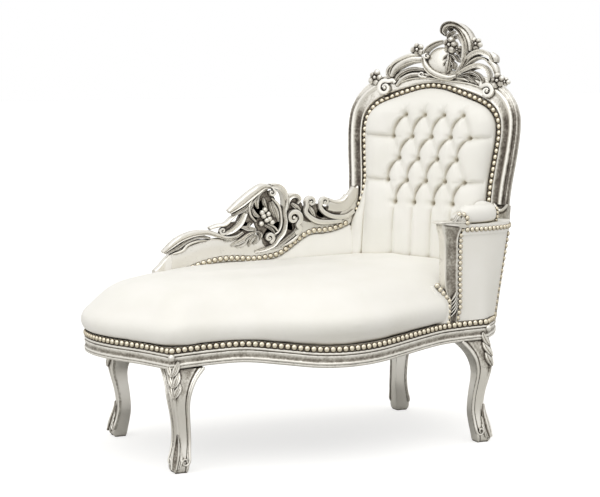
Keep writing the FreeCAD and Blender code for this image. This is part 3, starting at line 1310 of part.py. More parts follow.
arm_run = [point + UP * ((arm_top + arm_low) / 2) for point in arm_path(ARM_OUTER_SHARES, fine)]
arm_nails = nail_row(arm_run, out_of_plan, lift=fit_gap)
arm_nails = [nail for nail in arm_nails if nail.distToShape(behind_back)[0] > soft_gap
             and nail.distToShape(arm_post)[0] > soft_gap]
keep("arm_nails", Part.makeCompound(arm_nails))

# Carving: ribbons, scrolls and flowers laid out flat and joined, then fitted over its rail


RIBBON_STEPS = 6


def curve(points, steps=RIBBON_STEPS):
    """Points of a smooth curve through (x, y, width) rows."""
    rows = [list(enumerate(column)) for column in zip(*points)]
    places = evenly(0, len(points) - 1, (len(points) - 1) * steps + 1)
    return [tuple(smooth(row, place) for row in rows) for place in places]


def ribbon(points, low, high):
    """Flat strip of changing width along a curve."""
    run = curve(points)
    left, right = [], []
    for index, (x, y, width) in enumerate(run):
        before = run[max(index - 1, 0)]
        after = run[min(index + 1, len(run) - 1)]
        direction = Vector(after[0] - before[0], after[1] - before[1], 0).normalize()
        side = Vector(-direction.y, direction.x, 0) * (width / 2)
        left.append(Vector(x, y, low) + side)
        right.append(Vector(x, y, low) - side)
    return prism(left + list(reversed(right)), Vector(0, 0, high - low))


def volute(x, y, radius, start, turn, low, high):
    """Scroll winding in to a round eye; start and turn in degrees."""
    points = []
    for part in evenly(0, 1, CURVE_STEPS):
        angle = math.radians(start + turn * part)
        reach = radius * (1 - part * VOLUTE_TIGHT_SHARE)
        width = radius * (VOLUTE_WIDTH_SHARE * (1 - part * VOLUTE_TIGHT_SHARE))
        points.append((x + reach * math.cos(angle), y + reach * math.sin(angle), width))
    eye = Part.makeCylinder(radius * VOLUTE_EYE_SHARE, high - low, Vector(x, y, low))
    return [ribbon(points, low, high - band / 2), eye]


def flower(x, y, radius, low, high):
    """Five round petals about a raised centre."""
    petals = [Part.makeCylinder(radius * PETAL_SHARE, high - band / 2 - low, Vector(
        x + radius * PETAL_SHARE * math.cos(math.radians(angle)),
        y + radius * PETAL_SHARE * math.sin(math.radians(angle)), low)) for angle in PETAL_ANGLES]
    return petals + [Part.makeCylinder(radius * PETAL_SHARE * PETAL_SHARE, high - low, Vector(x, y, low))]


VOLUTE_TIGHT_SHARE = 0.62
VOLUTE_WIDTH_SHARE = 0.42
VOLUTE_EYE_SHARE = 0.52
PETAL_SHARE = 0.52
PETAL_ANGLES = (18, 90, 162, 234, 306)


def scaled(points, unit):
    """Rows of shares turned into lengths."""
    return [tuple(value * unit for value in row) for row in points]


# Crest carving: rows are shares of the crest height, in the back's plane
CREST_RIBBON_SHARES = [
    [(-0.42, 0.965, 0.05), (-0.35, 0.975, 0.07), (-0.26, 1.01, 0.06), (-0.18, 1.06, 0.05),
     (-0.11, 1.10, 0.05), (-0.03, 1.11, 0.05)],
    [(-0.376, 0.89, 0.03), (-0.38, 0.93, 0.04), (-0.372, 0.97, 0.03)],
    [(0.376, 0.88, 0.03), (0.382, 0.92, 0.04), (0.378, 0.95, 0.03)],
    [(-0.24, 0.93, 0.04), (-0.14, 0.975, 0.06), (-0.05, 1.01, 0.07)],
    [(0.16, 0.97, 0.07), (0.215, 1.06, 0.06), (0.225, 1.16, 0.05), (0.195, 1.25, 0.045), (0.12, 1.29, 0.04),
     (0.03, 1.26, 0.035)],
    [(0.05, 0.90, 0.05), (0.08, 0.98, 0.08), (0.12, 1.08, 0.08), (0.14, 1.16, 0.05)],
    [(0.14, 0.97, 0.06), (0.24, 1.02, 0.09), (0.34, 1.05, 0.08), (0.42, 1.06, 0.03)],
    [(0.22, 0.95, 0.05), (0.32, 0.96, 0.08), (0.42, 0.94, 0.06), (0.47, 0.915, 0.03)]]
CREST_VOLUTE_SHARES = [(-0.374, 0.868, 0.050, 110, -420), (0.376, 0.855, 0.050, 70, 420)]
CREST_FLOWER_SHARES = [(-0.464, 0.93, 0.05), (-0.14, 1.13, 0.042), (0.124, 1.12, 0.06), (0.284, 1.155, 0.045),
                       (0.455, 0.92, 0.04)]
CREST_SHIELD_SHARES = (0.006, 1.036, 0.096, 0.132)
crest_low = frame_rear / 2
crest_high = frame_front + size("carving_proud")
pieces = [ribbon(scaled(points, crest_height), crest_low, crest_high) for points in CREST_RIBBON_SHARES]
for x, y, radius, start, turn in CREST_VOLUTE_SHARES:
    pieces += volute(x * crest_height, y * crest_height, radius * crest_height, start, turn, crest_low,
                     crest_high + band / 2)
for row in CREST_FLOWER_SHARES:
    x, y, radius = (value * crest_height for value in row)
    pieces += flower(x, y, radius, crest_low, crest_high + band)
shield_x, shield_y, shield_across, shield_up = (value * crest_height for value in CREST_SHIELD_SHARES)
oval = Part.Ellipse(Vector(shield_x, shield_y, crest_low), shield_up, shield_across)
oval.AngleXU = math.radians(90)
oval_face = Part.Face(Part.Wire(oval.toShape()))
pieces.append(oval_face.extrude(Vector(0, 0, crest_high + band - crest_low)))
crest_carving = pieces[0].fuse(pieces[1:])
crest_room = arch_solid(OUTER_SHAPE_SHARES, back_half, crest_height, back_foot_drop,
                        frame_rear * 2, frame_front + soft_gap, soft_gap)
crest_carving = crest_carving.cut(crest_room)
keep("crest_carving", largest(crest_carving), back_place)

# Rail carving: rows are shares of the crest height, x from the leg centre, y above the nail line
LOW_RIBBON_SHARES = [
    [(-0.45, 0.50, 0.03), (-0.38, 0.535, 0.06), (-0.28, 0.57, 0.08), (-0.20, 0.62, 0.07), (-0.12, 0.70, 0.07),
     (-0.05, 0.80, 0.06), (0.02, 0.855, 0.04)],
    [(-0.30, 0.47, 0.04), (-0.18, 0.50, 0.07), (-0.06, 0.54, 0.08), (0.04, 0.60, 0.07), (0.10, 0.68, 0.05)],
    [(0.0, 0.46, 0.04), (0.10, 0.52, 0.07), (0.17, 0.58, 0.07), (0.25, 0.63, 0.06), (0.33, 0.66, 0.05)],
    [(0.02, 0.855, 0.03), (0.10, 0.83, 0.05), (0.17, 0.77, 0.06), (0.22, 0.70, 0.06), (0.30, 0.68, 0.05),
     (0.42, 0.70, 0.06), (0.50, 0.72, 0.05)],
    [(0.28, 0.60, 0.04), (0.38, 0.66, 0.07), (0.46, 0.70, 0.07), (0.54, 0.74, 0.06), (0.61, 0.83, 0.05)]]
LOW_VOLUTE_SHARES = [(0.034, 0.51, 0.055, 200, 420), (0.22, 0.64, 0.055, 200, 420),
                     (0.40, 0.69, 0.05, 200, 420)]
LOW_FLOWER_SHARES = [(-0.002, 0.63, 0.055), (-0.16, 0.50, 0.045), (0.13, 0.77, 0.045), (0.52, 0.72, 0.05)]


def upright(shape):
    """A flat carving turned up to face the front, over the rear of the seat."""
    copy = shape.copy()
    copy.Placement = Placement(Vector(centre_x, low_front, size("nail_line_height")),
                               Rotation(Vector(1, 0, 0), 90))
    return copy


carving_back = -(size("low_rail_thickness") / 2)
carving_front = size("carving_proud")
pieces = [ribbon(scaled(points, crest_height), carving_back, carving_front) for points in LOW_RIBBON_SHARES]
for x, y, radius, start, turn in LOW_VOLUTE_SHARES:
    pieces += volute(x * crest_height, y * crest_height, radius * crest_height, start, turn, carving_back,
                     carving_front + band / 2)
for row in LOW_FLOWER_SHARES:
    x, y, radius = (value * crest_height for value in row)
    pieces += flower(x, y, radius, carving_back, carving_front + band)
low_carving = upright(pieces[0].fuse(pieces[1:]))
low_room = [Vector(x, low_front - soft_gap, low_top(x) + soft_gap) for x in low_stations]
low_room += [Vector(low_stations[-1], low_front - soft_gap, 0),
             Vector(low_stations[0], low_front - soft_gap, 0)]
low_carving = low_carving.cut(prism(low_room, Vector(0, wide, 0))).cut(behind_back)
low_carving = low_carving.cut(low_pad_zone)
keep("low_rail_carving", largest(low_carving))

doc.recompute()
os.makedirs("parts", exist_ok=True)
for item in doc.Objects:
    if "Invalid" in item.State or "Error" in item.State:
        raise RuntimeError("object %s: %s" % (item.Label, item.State))
for label, item in nodes.items():
    if item.Shape.isNull() or not item.Shape.isValid() or not item.Shape.Solids:
        raise RuntimeError("sub-part %s is not a valid solid" % label)
for label, item in nodes.items():
    item.Shape.exportStep("parts/%s.step" % label)
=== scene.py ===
# %% [markdown]
# # A carved chaise longue, dressed over its measured frame
# The CAD model gives every board, nail and pad its true place. This script loads it as a
# fixed frame and models what the eye meets first: leaf-covered carving, moulded rails,
# cabriole legs, a tufted leather back, a deep seat cushion and a short padded arm.

# %% Load the frame
import json
import math

import bmesh
import bpy
import numpy as np
from mathutils import Matrix, Vector


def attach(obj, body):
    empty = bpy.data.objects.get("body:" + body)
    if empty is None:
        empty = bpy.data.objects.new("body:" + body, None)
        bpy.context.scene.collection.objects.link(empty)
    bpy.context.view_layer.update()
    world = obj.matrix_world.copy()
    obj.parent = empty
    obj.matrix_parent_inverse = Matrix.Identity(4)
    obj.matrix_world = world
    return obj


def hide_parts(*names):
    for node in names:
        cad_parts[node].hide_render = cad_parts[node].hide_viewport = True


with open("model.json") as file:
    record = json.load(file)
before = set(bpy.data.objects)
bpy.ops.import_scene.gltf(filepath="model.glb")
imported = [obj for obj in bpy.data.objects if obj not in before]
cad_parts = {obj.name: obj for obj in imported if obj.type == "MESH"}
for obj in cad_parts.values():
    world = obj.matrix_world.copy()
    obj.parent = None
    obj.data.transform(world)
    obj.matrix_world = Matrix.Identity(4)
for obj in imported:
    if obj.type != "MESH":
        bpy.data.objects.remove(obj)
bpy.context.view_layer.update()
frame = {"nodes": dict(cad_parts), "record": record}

nodes = frame["nodes"]
print("CAD nodes:", len(nodes))

# %% [markdown]
# ## Materials
# Each finish starts from what the real one is made of. Colours are written as sRGB hex
# values, as a paint chart gives them, and one function turns them to linear light.


# %% Colour and node helpers
def linear(hex_colour):
    """Linear RGBA of an sRGB hex colour."""
    parts = [int(hex_colour[start:start + 2], 16) / 255 for start in (1, 3, 5)]
    return tuple(part / 12.92 if part <= 0.04045 else ((part + 0.055) / 1.055) ** 2.4
                 for part in parts) + (1.0,)


def add_node(tree, kind, inputs=None, stops=None, **settings):
    """Adds a shader node with its settings, its socket values or links, and its ramp."""
    made = tree.nodes.new("ShaderNode" + kind)
    for name, value in settings.items():
        setattr(made, name, value)
    for socket, value in (inputs or {}).items():
        if isinstance(value, bpy.types.NodeSocket):
            tree.links.new(value, made.inputs[socket])
        else:
            made.inputs[socket].default_value = value
    if stops:
        elements = made.color_ramp.elements
        elements[0].position, elements[-1].position = stops[0][0], stops[-1][0]
        for place, _ in stops[1:-1]:
            elements.new(place)
        for element, (_, colour) in zip(elements, stops):
            element.color = linear(colour)
    return made


def new_material(name, **sockets):
    """A material with its Principled shader; sockets are named with _ for spaces."""
    material = bpy.data.materials.new(name)
    material.use_nodes = True
    tree = material.node_tree
    shader = tree.nodes["Principled BSDF"]
    for socket, value in sockets.items():
        shader.inputs[socket.replace("_", " ")].default_value = value
    return material, tree, shader, add_node(tree, "TexCoord").outputs["Object"]


def feed(shader, **outputs):
    """Links outputs of nodes to the shader's sockets; sockets are named with _ for spaces."""
    for socket, output in outputs.items():
        shader.id_data.links.new(output, shader.inputs[socket.replace("_", " ")])


# %% [markdown]
# ### Silver leaf
# The carving is wood under a thin layer of real leaf, rubbed with dark wax. On the high
# places the leaf shines pale. In the hollows the wax stays, brown-black and dull. Ambient
# occlusion finds the hollows by itself, and the joins with the leather as well, and darkens
# them: wax in part, painted shade in part. Noise breaks the edge of the wax.


# %% Silver leaf with dark wax
WAX_AND_SHADE_REACH = 0.007
WAX_CLOUD = 0.030
WAX_MOTTLE = 0.007
WAX_SPECKLE = 0.0018
SHADE_SAMPLES = 6
LEAF_TONES = [(0.16, "#231B14"), (0.37, "#554C42"), (0.55, "#938D83"), (0.73, "#C9C5BB"), (0.90, "#ECE9E1")]


def silver_leaf():
    """Gilder's silver leaf on carved hardwood: bright, softly mirrored, waxed in the hollows, with painted shade in
    hollows and joins.
    """
    material, tree, shader, place = new_material("silver_leaf_on_carved_wood")
    # ambient occlusion darkens the colour in hollows and at joins with other parts: wax in part, painted shade in part
    hollow = add_node(tree, "AmbientOcclusion", {"Distance": WAX_AND_SHADE_REACH}, samples=SHADE_SAMPLES)
    painted = add_node(tree, "Attribute", attribute_name="wax_and_shade")
    cloud = add_node(tree, "TexNoise", {"Vector": place, "Scale": 1 / WAX_CLOUD, "Detail": 3.0})
    mottle = add_node(tree, "TexNoise", {"Vector": place, "Scale": 1 / WAX_MOTTLE, "Detail": 5.0,
                                         "Roughness": 0.65})
    speckle = add_node(tree, "TexNoise", {"Vector": place, "Scale": 1 / WAX_SPECKLE, "Detail": 3.0})
    level = add_node(tree, "Math", {0: hollow.outputs["AO"], 1: painted.outputs["Fac"]}, operation="SUBTRACT")
    for noise, share in ((cloud, 0.40), (mottle, 0.75), (speckle, 0.30)):
        swing = add_node(tree, "Math", {0: noise.outputs["Fac"], 1: share, 2: -share / 2},
                         operation="MULTIPLY_ADD")
        level = add_node(tree, "Math", {0: level.outputs[0], 1: swing.outputs[0]}, operation="ADD")
    tone = add_node(tree, "ValToRGB", {0: level.outputs[0]}, stops=LEAF_TONES)
    metal = add_node(tree, "MapRange", {"Value": level.outputs[0], "From Min": 0.40, "From Max": 0.85,
                                        "To Min": 0.1, "To Max": 0.70})
    rough = add_node(tree, "MapRange", {"Value": level.outputs[0], "From Min": 0.40, "From Max": 0.95,
                                        "To Min": 0.60, "To Max": 0.30})
    bump = add_node(tree, "Bump", {"Height": speckle.outputs["Fac"], "Strength": 0.25, "Distance": 0.0004})
    feed(shader, Base_Color=tone.outputs["Color"], Metallic=metal.outputs["Result"],
         Roughness=rough.outputs["Result"], Normal=bump.outputs["Normal"])
    return material


SILVER = silver_leaf()
print("made", SILVER.name)

# %% [markdown]
# ### Faux leather
# A coated cloth with a fine pressed grain, off-white. The coat gives a soft satin gloss,
# and the grain, about a millimetre wide, breaks it up without showing as a pattern.


# %% Off-white faux leather
LEATHER_GRAIN = 0.0014
LEATHER_CLOUD = 0.12
CREASE_SHADE_REACH = 0.02


def faux_leather():
    """Coated upholstery cloth with a pressed grain, and painted shade in its folds and creases."""
    material, tree, shader, place = new_material("off_white_faux_leather", IOR=1.5)
    grain = add_node(tree, "TexVoronoi", {"Vector": place, "Scale": 1 / LEATHER_GRAIN})
    cloud = add_node(tree, "TexNoise", {"Vector": place, "Scale": 1 / LEATHER_CLOUD, "Detail": 4.0})
    # ambient occlusion darkens the colour in folds and creases: painted shade
    crease = add_node(tree, "AmbientOcclusion", {"Distance": CREASE_SHADE_REACH}, samples=SHADE_SAMPLES)
    tone = add_node(tree, "ValToRGB", {0: cloud.outputs["Fac"]}, stops=[(0.3, "#F1F0EA"), (0.7, "#F6F5F1")])
    deep = add_node(tree, "ValToRGB", {0: crease.outputs["AO"]}, stops=[
        (0.10, "#BDB6A8"), (0.35, "#E8E4DA"), (0.62, "#FFFFFF")])
    colour = add_node(tree, "Mix", {"Factor": 1.0, "A": tone.outputs["Color"], "B": deep.outputs["Color"]},
                      data_type="RGBA", blend_type="MULTIPLY")
    rough = add_node(tree, "MapRange", {"Value": cloud.outputs["Fac"], "To Min": 0.38, "To Max": 0.48})
    bump = add_node(tree, "Bump", {"Height": grain.outputs["Distance"], "Strength": 0.2, "Distance": 0.00025})
    feed(shader, Base_Color=colour.outputs["Result"], Roughness=rough.outputs["Result"],
         Normal=bump.outputs["Normal"])
    return material


LEATHER = faux_leather()
print("made", LEATHER.name)

# %% [markdown]
# ### Nails, and what is under the leather
# The decorative nails are stamped steel domes with a polished, pale brass plate. Under the
# seat show jute straps, hessian, plain beech blocks, zinc-plated screws and black dust
# cloth. Each is drawn at the size of its own threads or grain.


# %% Polished nails
NAIL_GAP_SHADE = 0.009
NAIL_SCUFF = 0.003
PLATE_LIGHT_AND_SHADE_TONES = [(0.10, "#2A2014"), (0.38, "#6E5D45"), (0.60, "#BBAC8F"), (0.85, "#E9E1CD")]


def plated_nails():
    """Pale brass plate on stamped steel: a clear mirror, with painted shade where one nail meets the next and a
    painted dark reflection round each dome's rim.
    """
    material, tree, shader, place = new_material("polished_brass_plated_nails", Metallic=0.85)
    # painted shade where the domes meet, from ambient occlusion, and a painted dark reflection towards each dome's
    # rim, from the facing angle
    gap = add_node(tree, "AmbientOcclusion", {"Distance": NAIL_GAP_SHADE}, samples=SHADE_SAMPLES)
    rim = add_node(tree, "LayerWeight", {"Blend": 0.35})
    dark = add_node(tree, "Math", {0: rim.outputs["Facing"], 1: -0.70, 2: gap.outputs["AO"]},
                    operation="MULTIPLY_ADD")
    tone = add_node(tree, "ValToRGB", {0: dark.outputs[0]}, stops=PLATE_LIGHT_AND_SHADE_TONES)
    scuff = add_node(tree, "TexNoise", {"Vector": place, "Scale": 1 / NAIL_SCUFF})
    rough = add_node(tree, "MapRange", {"Value": scuff.outputs["Fac"], "To Min": 0.16, "To Max": 0.3})
    feed(shader, Base_Color=tone.outputs["Color"], Roughness=rough.outputs["Result"])
    return material


# %% Jute, hessian and dust cloth
JUTE_THREAD = 0.0025
HESSIAN_THREAD = 0.0016
DUST_THREAD = 0.001
# a wave texture of scale 1 repeats each 0.32 of a metre
WAVE_SPACING = 0.32


def woven(name, dark, light, thread):
    """A plain weave: threads cross at an even spacing, one set over the other."""
    material, tree, shader, place = new_material(name, Roughness=0.9)
    warp, weft = (add_node(tree, "TexWave", {"Vector": place, "Scale": WAVE_SPACING / thread, "Distortion": 0.6},
                           bands_direction=way) for way in "XY")
    over = add_node(tree, "Math", {0: warp.outputs["Fac"], 1: weft.outputs["Fac"]}, operation="MAXIMUM")
    tone = add_node(tree, "ValToRGB", {0: over.outputs[0]}, stops=[(0.35, dark), (0.9, light)])
    bump = add_node(tree, "Bump", {"Height": over.outputs[0], "Strength": 0.5, "Distance": thread / 4})
    feed(shader, Base_Color=tone.outputs["Color"], Normal=bump.outputs["Normal"])
    return material


# %% Foam, beech and zinc plate
FOAM_PORE = 0.003
BEECH_GRAIN = 0.004
ZINC_CLOUD = 0.004


def upholstery_foam():
    """Open-cell foam: pale yellow, dull, with fine open pores."""
    material, tree, shader, place = new_material("open_cell_foam", Roughness=0.95)
    pores = add_node(tree, "TexVoronoi", {"Vector": place, "Scale": 1 / FOAM_PORE})
    tone = add_node(tree, "ValToRGB", {0: pores.outputs["Distance"]}, stops=[(0.1, "#CDBE86"), (0.5, "#EFE3B4")])
    bump = add_node(tree, "Bump", {"Height": pores.outputs["Distance"], "Strength": 0.6, "Distance": 0.001})
    feed(shader, Base_Color=tone.outputs["Color"], Normal=bump.outputs["Normal"])
    return material


def plain_beech():
    """Unfinished beech, sawn and sanded: long fine grain with small flecks."""
    material, tree, shader, place = new_material("unfinished_beech", Roughness=0.7)
    stretched = add_node(tree, "Mapping", {"Vector": place, "Scale": (1.0, 1.0, 0.12)})
    grain = add_node(tree, "TexNoise", {"Vector": stretched.outputs[0], "Scale": 1 / BEECH_GRAIN, "Detail": 4.0})
    tone = add_node(tree, "ValToRGB", {0: grain.outputs["Fac"]}, stops=[(0.3, "#A9825A"), (0.7, "#D2B080")])
    bump = add_node(tree, "Bump", {"Height": grain.outputs["Fac"], "Strength": 0.2, "Distance": 0.0004})
    feed(shader, Base_Color=tone.outputs["Color"], Normal=bump.outputs["Normal"])
    return material


def zinc_plate():
    """Zinc-plated steel screws: grey metal with a cloudy plate."""
    material, tree, shader, place = new_material("zinc_plated_steel", Metallic=1.0)
    cloud = add_node(tree, "TexNoise", {"Vector": place, "Scale": 1 / ZINC_CLOUD})
    tone = add_node(tree, "ValToRGB", {0: cloud.outputs["Fac"]}, stops=[(0.3, "#8C8E90"), (0.7, "#B4B6B8")])
    rough = add_node(tree, "MapRange", {"Value": cloud.outputs["Fac"], "To Min": 0.3, "To Max": 0.5})
    feed(shader, Base_Color=tone.outputs["Color"], Roughness=rough.outputs["Result"])
    return material


# %% The finish of each slot
finishes = {
    "silver_leaf_wood": SILVER, "faux_leather": LEATHER, "polished_nails": plated_nails(),
    "jute_webbing": woven("woven_jute_webbing", "#7A5C36", "#B8945F", JUTE_THREAD),
    "hessian": woven("woven_hessian", "#6E5736", "#A68A5C", HESSIAN_THREAD),
    "dust_cloth": woven("black_dust_cloth", "#060606", "#191919", DUST_THREAD),
    "foam": upholstery_foam(), "plain_wood": plain_beech(), "steel": zinc_plate()}
print("finishes:", ", ".join(sorted(finishes)))

# %% [markdown]
# ### Finishes on the CAD nodes
# Boards, straps, foam and flat panels have their right shape already. They stay as they are
# and only take the finish that their slot names, so nothing about their places can change.

# %% Every CAD node takes the finish of its slot
for subpart in frame["record"]["subparts"]:
    mesh = nodes[subpart["node"]].data
    mesh.materials.clear()
    mesh.materials.append(finishes[subpart["material_slot"]])

# %% [markdown]
# ## Working in millimetres
# The maker's drawing is in millimetres, so pieces are shaped in millimetres too and turned
# to metres at the very end. Curves run through measured points. A section carried along a
# curve is extruded from station to station, which is how a moulding plane sees the wood.

# %% Curves through measured points
MM = 0.001


def evenly(first, last, count):
    """Evenly spaced places, both ends included."""
    return [first + (last - first) * step / (count - 1) for step in range(count)]


def smooth(points, place):
    """Value at a place of the smooth curve through (place, value) points."""
    if place <= points[0][0]:
        return points[0][1]
    if place >= points[-1][0]:
        return points[-1][1]
    last = len(points) - 1
    slopes = []
    for index in range(last + 1):
        before, after = points[max(index - 1, 0)], points[min(index + 1, last)]
        slopes.append((after[1] - before[1]) / (after[0] - before[0]))
    index = max(i for i in range(last) if points[i][0] <= place)
    left, right = points[index], points[index + 1]
    span = right[0] - left[0]
    part = (place - left[0]) / span
    rest = 1 - part
    return (left[1] * (1 + 2 * part) * rest * rest + right[1] * (1 + 2 * rest) * part * part
            + slopes[index] * span * part * rest * rest - slopes[index + 1] * span * part * part * rest)


def curve_through(points, count):
    """Evenly spaced points on the smooth curve through the given ones."""
    points = [Vector(point).to_3d() for point in points]
    run = [0.0]
    for first, second in zip(points, points[1:]):
        run.append(run[-1] + max((second - first).length, 1e-6))
    rows = [[(place, point[axis]) for place, point in zip(run, points)] for axis in range(3)]
    return [Vector([smooth(row, place) for row in rows]) for place in evenly(0, run[-1], count)]


def shared(values, part):
    """Value at a share of the way along an even list."""
    return smooth([(index / (len(values) - 1), value) for index, value in enumerate(values)], part)


def row_point(points, place):
    """Point at a place counted in the rows of a list of points."""
    return Vector([smooth([(row, point[axis]) for row, point in enumerate(points)], place) for axis in range(3)])


# %% [markdown]
# ### From section to piece
# A sweep extrudes one outline from station to station, and each point of the outline can
# carry its own share of wax and painted shade. A finished piece has its doubles merged and its
# faces turned outwards. It rides the part's one body, and hides the CAD nodes that it stands for.

# %% Sweeping a section, and finishing a piece
def sweep(bm, rings, wax_and_shade=None):
    """Extrudes an outline from station to station. Both ends stay closed."""
    layer = bm.verts.layers.float.get("wax_and_shade") or bm.verts.layers.float.new("wax_and_shade")
    front = bm.faces.new([bm.verts.new(point) for point in rings[0]])
    made = [list(front.verts)]
    for ring in rings[1:]:
        # the face goes in with its edges, so that no inner face is left at a station
        out = bmesh.ops.extrude_face_region(bm, geom=[front, *front.edges])
        front = next(item for item in out["geom"] if isinstance(item, bmesh.types.BMFace))
        for vert, point in zip(front.verts, ring):
            vert.co = point
        made.append(list(front.verts))
    # each point's value is wax, or painted shade where a table lays shade there
    if wax_and_shade:
        for index, verts in enumerate(made):
            tones = wax_and_shade[index] if isinstance(wax_and_shade[0], list) else wax_and_shade
            for vert, tone in zip(verts, tones):
                vert[layer] = tone


def finished(bm, name, slot, replaced=(), place=None, levels=0, sharp=50):
    """Turns a bmesh in millimetres into a piece of the part."""
    bmesh.ops.remove_doubles(bm, verts=bm.verts, dist=0.02)
    bmesh.ops.recalc_face_normals(bm, faces=bm.faces)
    bmesh.ops.transform(bm, matrix=Matrix.Scale(MM, 4) @ (place or Matrix()), verts=bm.verts)
    mesh = bpy.data.meshes.new(name)
    bm.to_mesh(mesh)
    bm.free()
    mesh.polygons.foreach_set("use_smooth", [True] * len(mesh.polygons))
    mesh.set_sharp_from_angle(angle=math.radians(sharp))
    mesh.materials.append(finishes[slot])
    piece = bpy.data.objects.new(name, mesh)
    bpy.context.collection.objects.link(piece)
    if levels:
        subdivision = piece.modifiers.new("smoothing", "SUBSURF")
        subdivision.levels = subdivision.render_levels = levels
    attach(piece, "root")
    if replaced:
        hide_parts(*replaced)
    print(name, "has", len(mesh.polygons), "faces")
    return piece


# %% [markdown]
# ## The seat frame
# The rails are serpentine boards with a run of mouldings: a sunk band for the nails, a thin
# bead, a wide hollow and a second bead along the lower edge. One section is carried along
# each side. The plan and the height of the nail row are the ones the CAD frame uses.

# %% Plan of the seat, in millimetres
HALF_X, HALF_Y = 963 / 2, 532 / 2
CENTRE_X, CENTRE_Y = -18, 20
POST_REACH = 36
NAIL_BAND = 8.85
NAIL_RECESS = 4
RAIL_THICKNESS = 34
RAIL_DROP = 52
FRONT_BOW = [(-1.10, 0.0), (-1.0, 0.02), (-0.80, 0.06), (-0.60, 0.26), (-0.40, 0.50), (-0.20, 0.86), (0.0, 1.03),
             (0.20, 0.92), (0.40, 0.61), (0.57, 0.33), (0.70, 0.11), (0.85, 0.03), (1.0, 0.0), (1.10, -0.05)]
FOOT_BOW = [(-1.10, 0.02), (-1.0, 0.10), (-0.62, 0.49), (-0.26, 0.88), (0.11, 1.04), (0.50, 0.93), (0.83, 0.55),
            (1.0, 0.17), (1.10, 0.02)]
HEAD_BOW = [(-1.10, 0.0), (-1.0, 0.07), (-0.76, 0.55), (-0.45, 0.95), (0.0, 1.05), (0.45, 0.95), (0.76, 0.60),
            (1.0, 0.15), (1.10, 0.0)]
REAR_BOW = [(-1.10, 0.0), (-1.0, 0.20), (-0.80, 0.72), (-0.40, 1.0), (0.40, 1.0), (0.80, 0.80), (1.0, 0.20),
            (1.10, 0.0)]
FRONT_SWELL, REAR_SWELL, FOOT_SWELL, HEAD_SWELL = 105, 32, 140, 120
NAIL_LINE, NAIL_CLIMB = 335, 19
WAVE_HEIGHT, FOOT_ARCH = 18, 10
FRONT_WAVE = [(-1.10, 0.0), (-0.80, 0.33), (-0.60, 0.45), (-0.40, -0.20), (-0.20, -0.85), (-0.05, -1.0),
              (0.15, -0.90), (0.40, -0.45), (0.60, -0.12), (0.85, 0.0), (1.10, 0.0)]


# %% Edges of the plan, and heights of the nail row
def front_edge(x):
    return CENTRE_Y - HALF_Y - FRONT_SWELL * smooth(FRONT_BOW, (x - CENTRE_X) / HALF_X)


def rear_edge(x):
    return CENTRE_Y + HALF_Y + REAR_SWELL * smooth(REAR_BOW, (x - CENTRE_X) / HALF_X)


def foot_edge(y):
    return CENTRE_X - HALF_X - FOOT_SWELL * smooth(FOOT_BOW, (y - CENTRE_Y) / HALF_Y)


def head_edge(y):
    return CENTRE_X + HALF_X + HEAD_SWELL * smooth(HEAD_BOW, (y - CENTRE_Y) / HALF_Y)


def slope_height(x):
    """Height of the nail row without its wave: it climbs a little towards the head end."""
    return NAIL_LINE + NAIL_CLIMB * (x - CENTRE_X + HALF_X) / (2 * HALF_X)


def front_nail(x):
    return slope_height(x) + WAVE_HEIGHT * smooth(FRONT_WAVE, (x - CENTRE_X) / HALF_X)


def foot_nail(y):
    share = min(abs(y - CENTRE_Y) / HALF_Y, 1)
    return slope_height(foot_edge(y)) + FOOT_ARCH * (1 - share * share)


# %% Moulded seat rails
# (inset, height from the nail row, wax): the show face from the nail band down to the lower edge
RAIL_FACE = [
    (RAIL_THICKNESS, 8.8, 0.1), (4, 8.8, 0.38), (4, -8.6, 0.42), (1.2, -10, 0.1), (0.2, -12, -0.1),
    (0.4, -14.5, -0.05), (2.2, -16, 0.4), (2.6, -17.5, 0.4), (1.0, -19, 0.1), (0.4, -21.5, 0.05),
    (1.0, -24, 0.12), (2.6, -27, 0.3),
    (3.6, -31, 0.42), (3.4, -34.5, 0.42), (2.2, -36.5, 0.3), (0.5, -38, 0), (0.0, -40.5, -0.12), (0.6, -42.5, 0),
    (2.0, -43.5, 0.4), (1.0, -45, 0.1), (0.6, -47.5, 0), (1.6, -50, 0.1), (5, -51.8, 0.2), (12, -52, 0.3),
    (RAIL_THICKNESS, -52, 0.35)]
LEDGE = 20
DECK_DROP = 26
LEDGE_DEPTH = 12
LEDGE_WAX = 0.2


def seat_rail(name, point_of, nail_of, deck_of, places):
    """One rail: its section carried along the plan."""
    bm = bmesh.new()
    rings = []
    for place in places:
        nail, deck = nail_of(place), deck_of(place)
        ring = [point_of(place, inset, nail + rise) for inset, rise, _ in RAIL_FACE]
        ledge = [(RAIL_THICKNESS, deck - LEDGE_DEPTH), (RAIL_THICKNESS + LEDGE, deck - LEDGE_DEPTH),
                 (RAIL_THICKNESS + LEDGE, deck), (RAIL_THICKNESS, deck)]
        rings.append(ring + [point_of(place, inset, height) for inset, height in ledge])
    sweep(bm, rings, [wax for _, _, wax in RAIL_FACE] + [LEDGE_WAX] * len(ledge))
    return finished(bm, name + "_moulded", "silver_leaf_wood", [name], sharp=40)


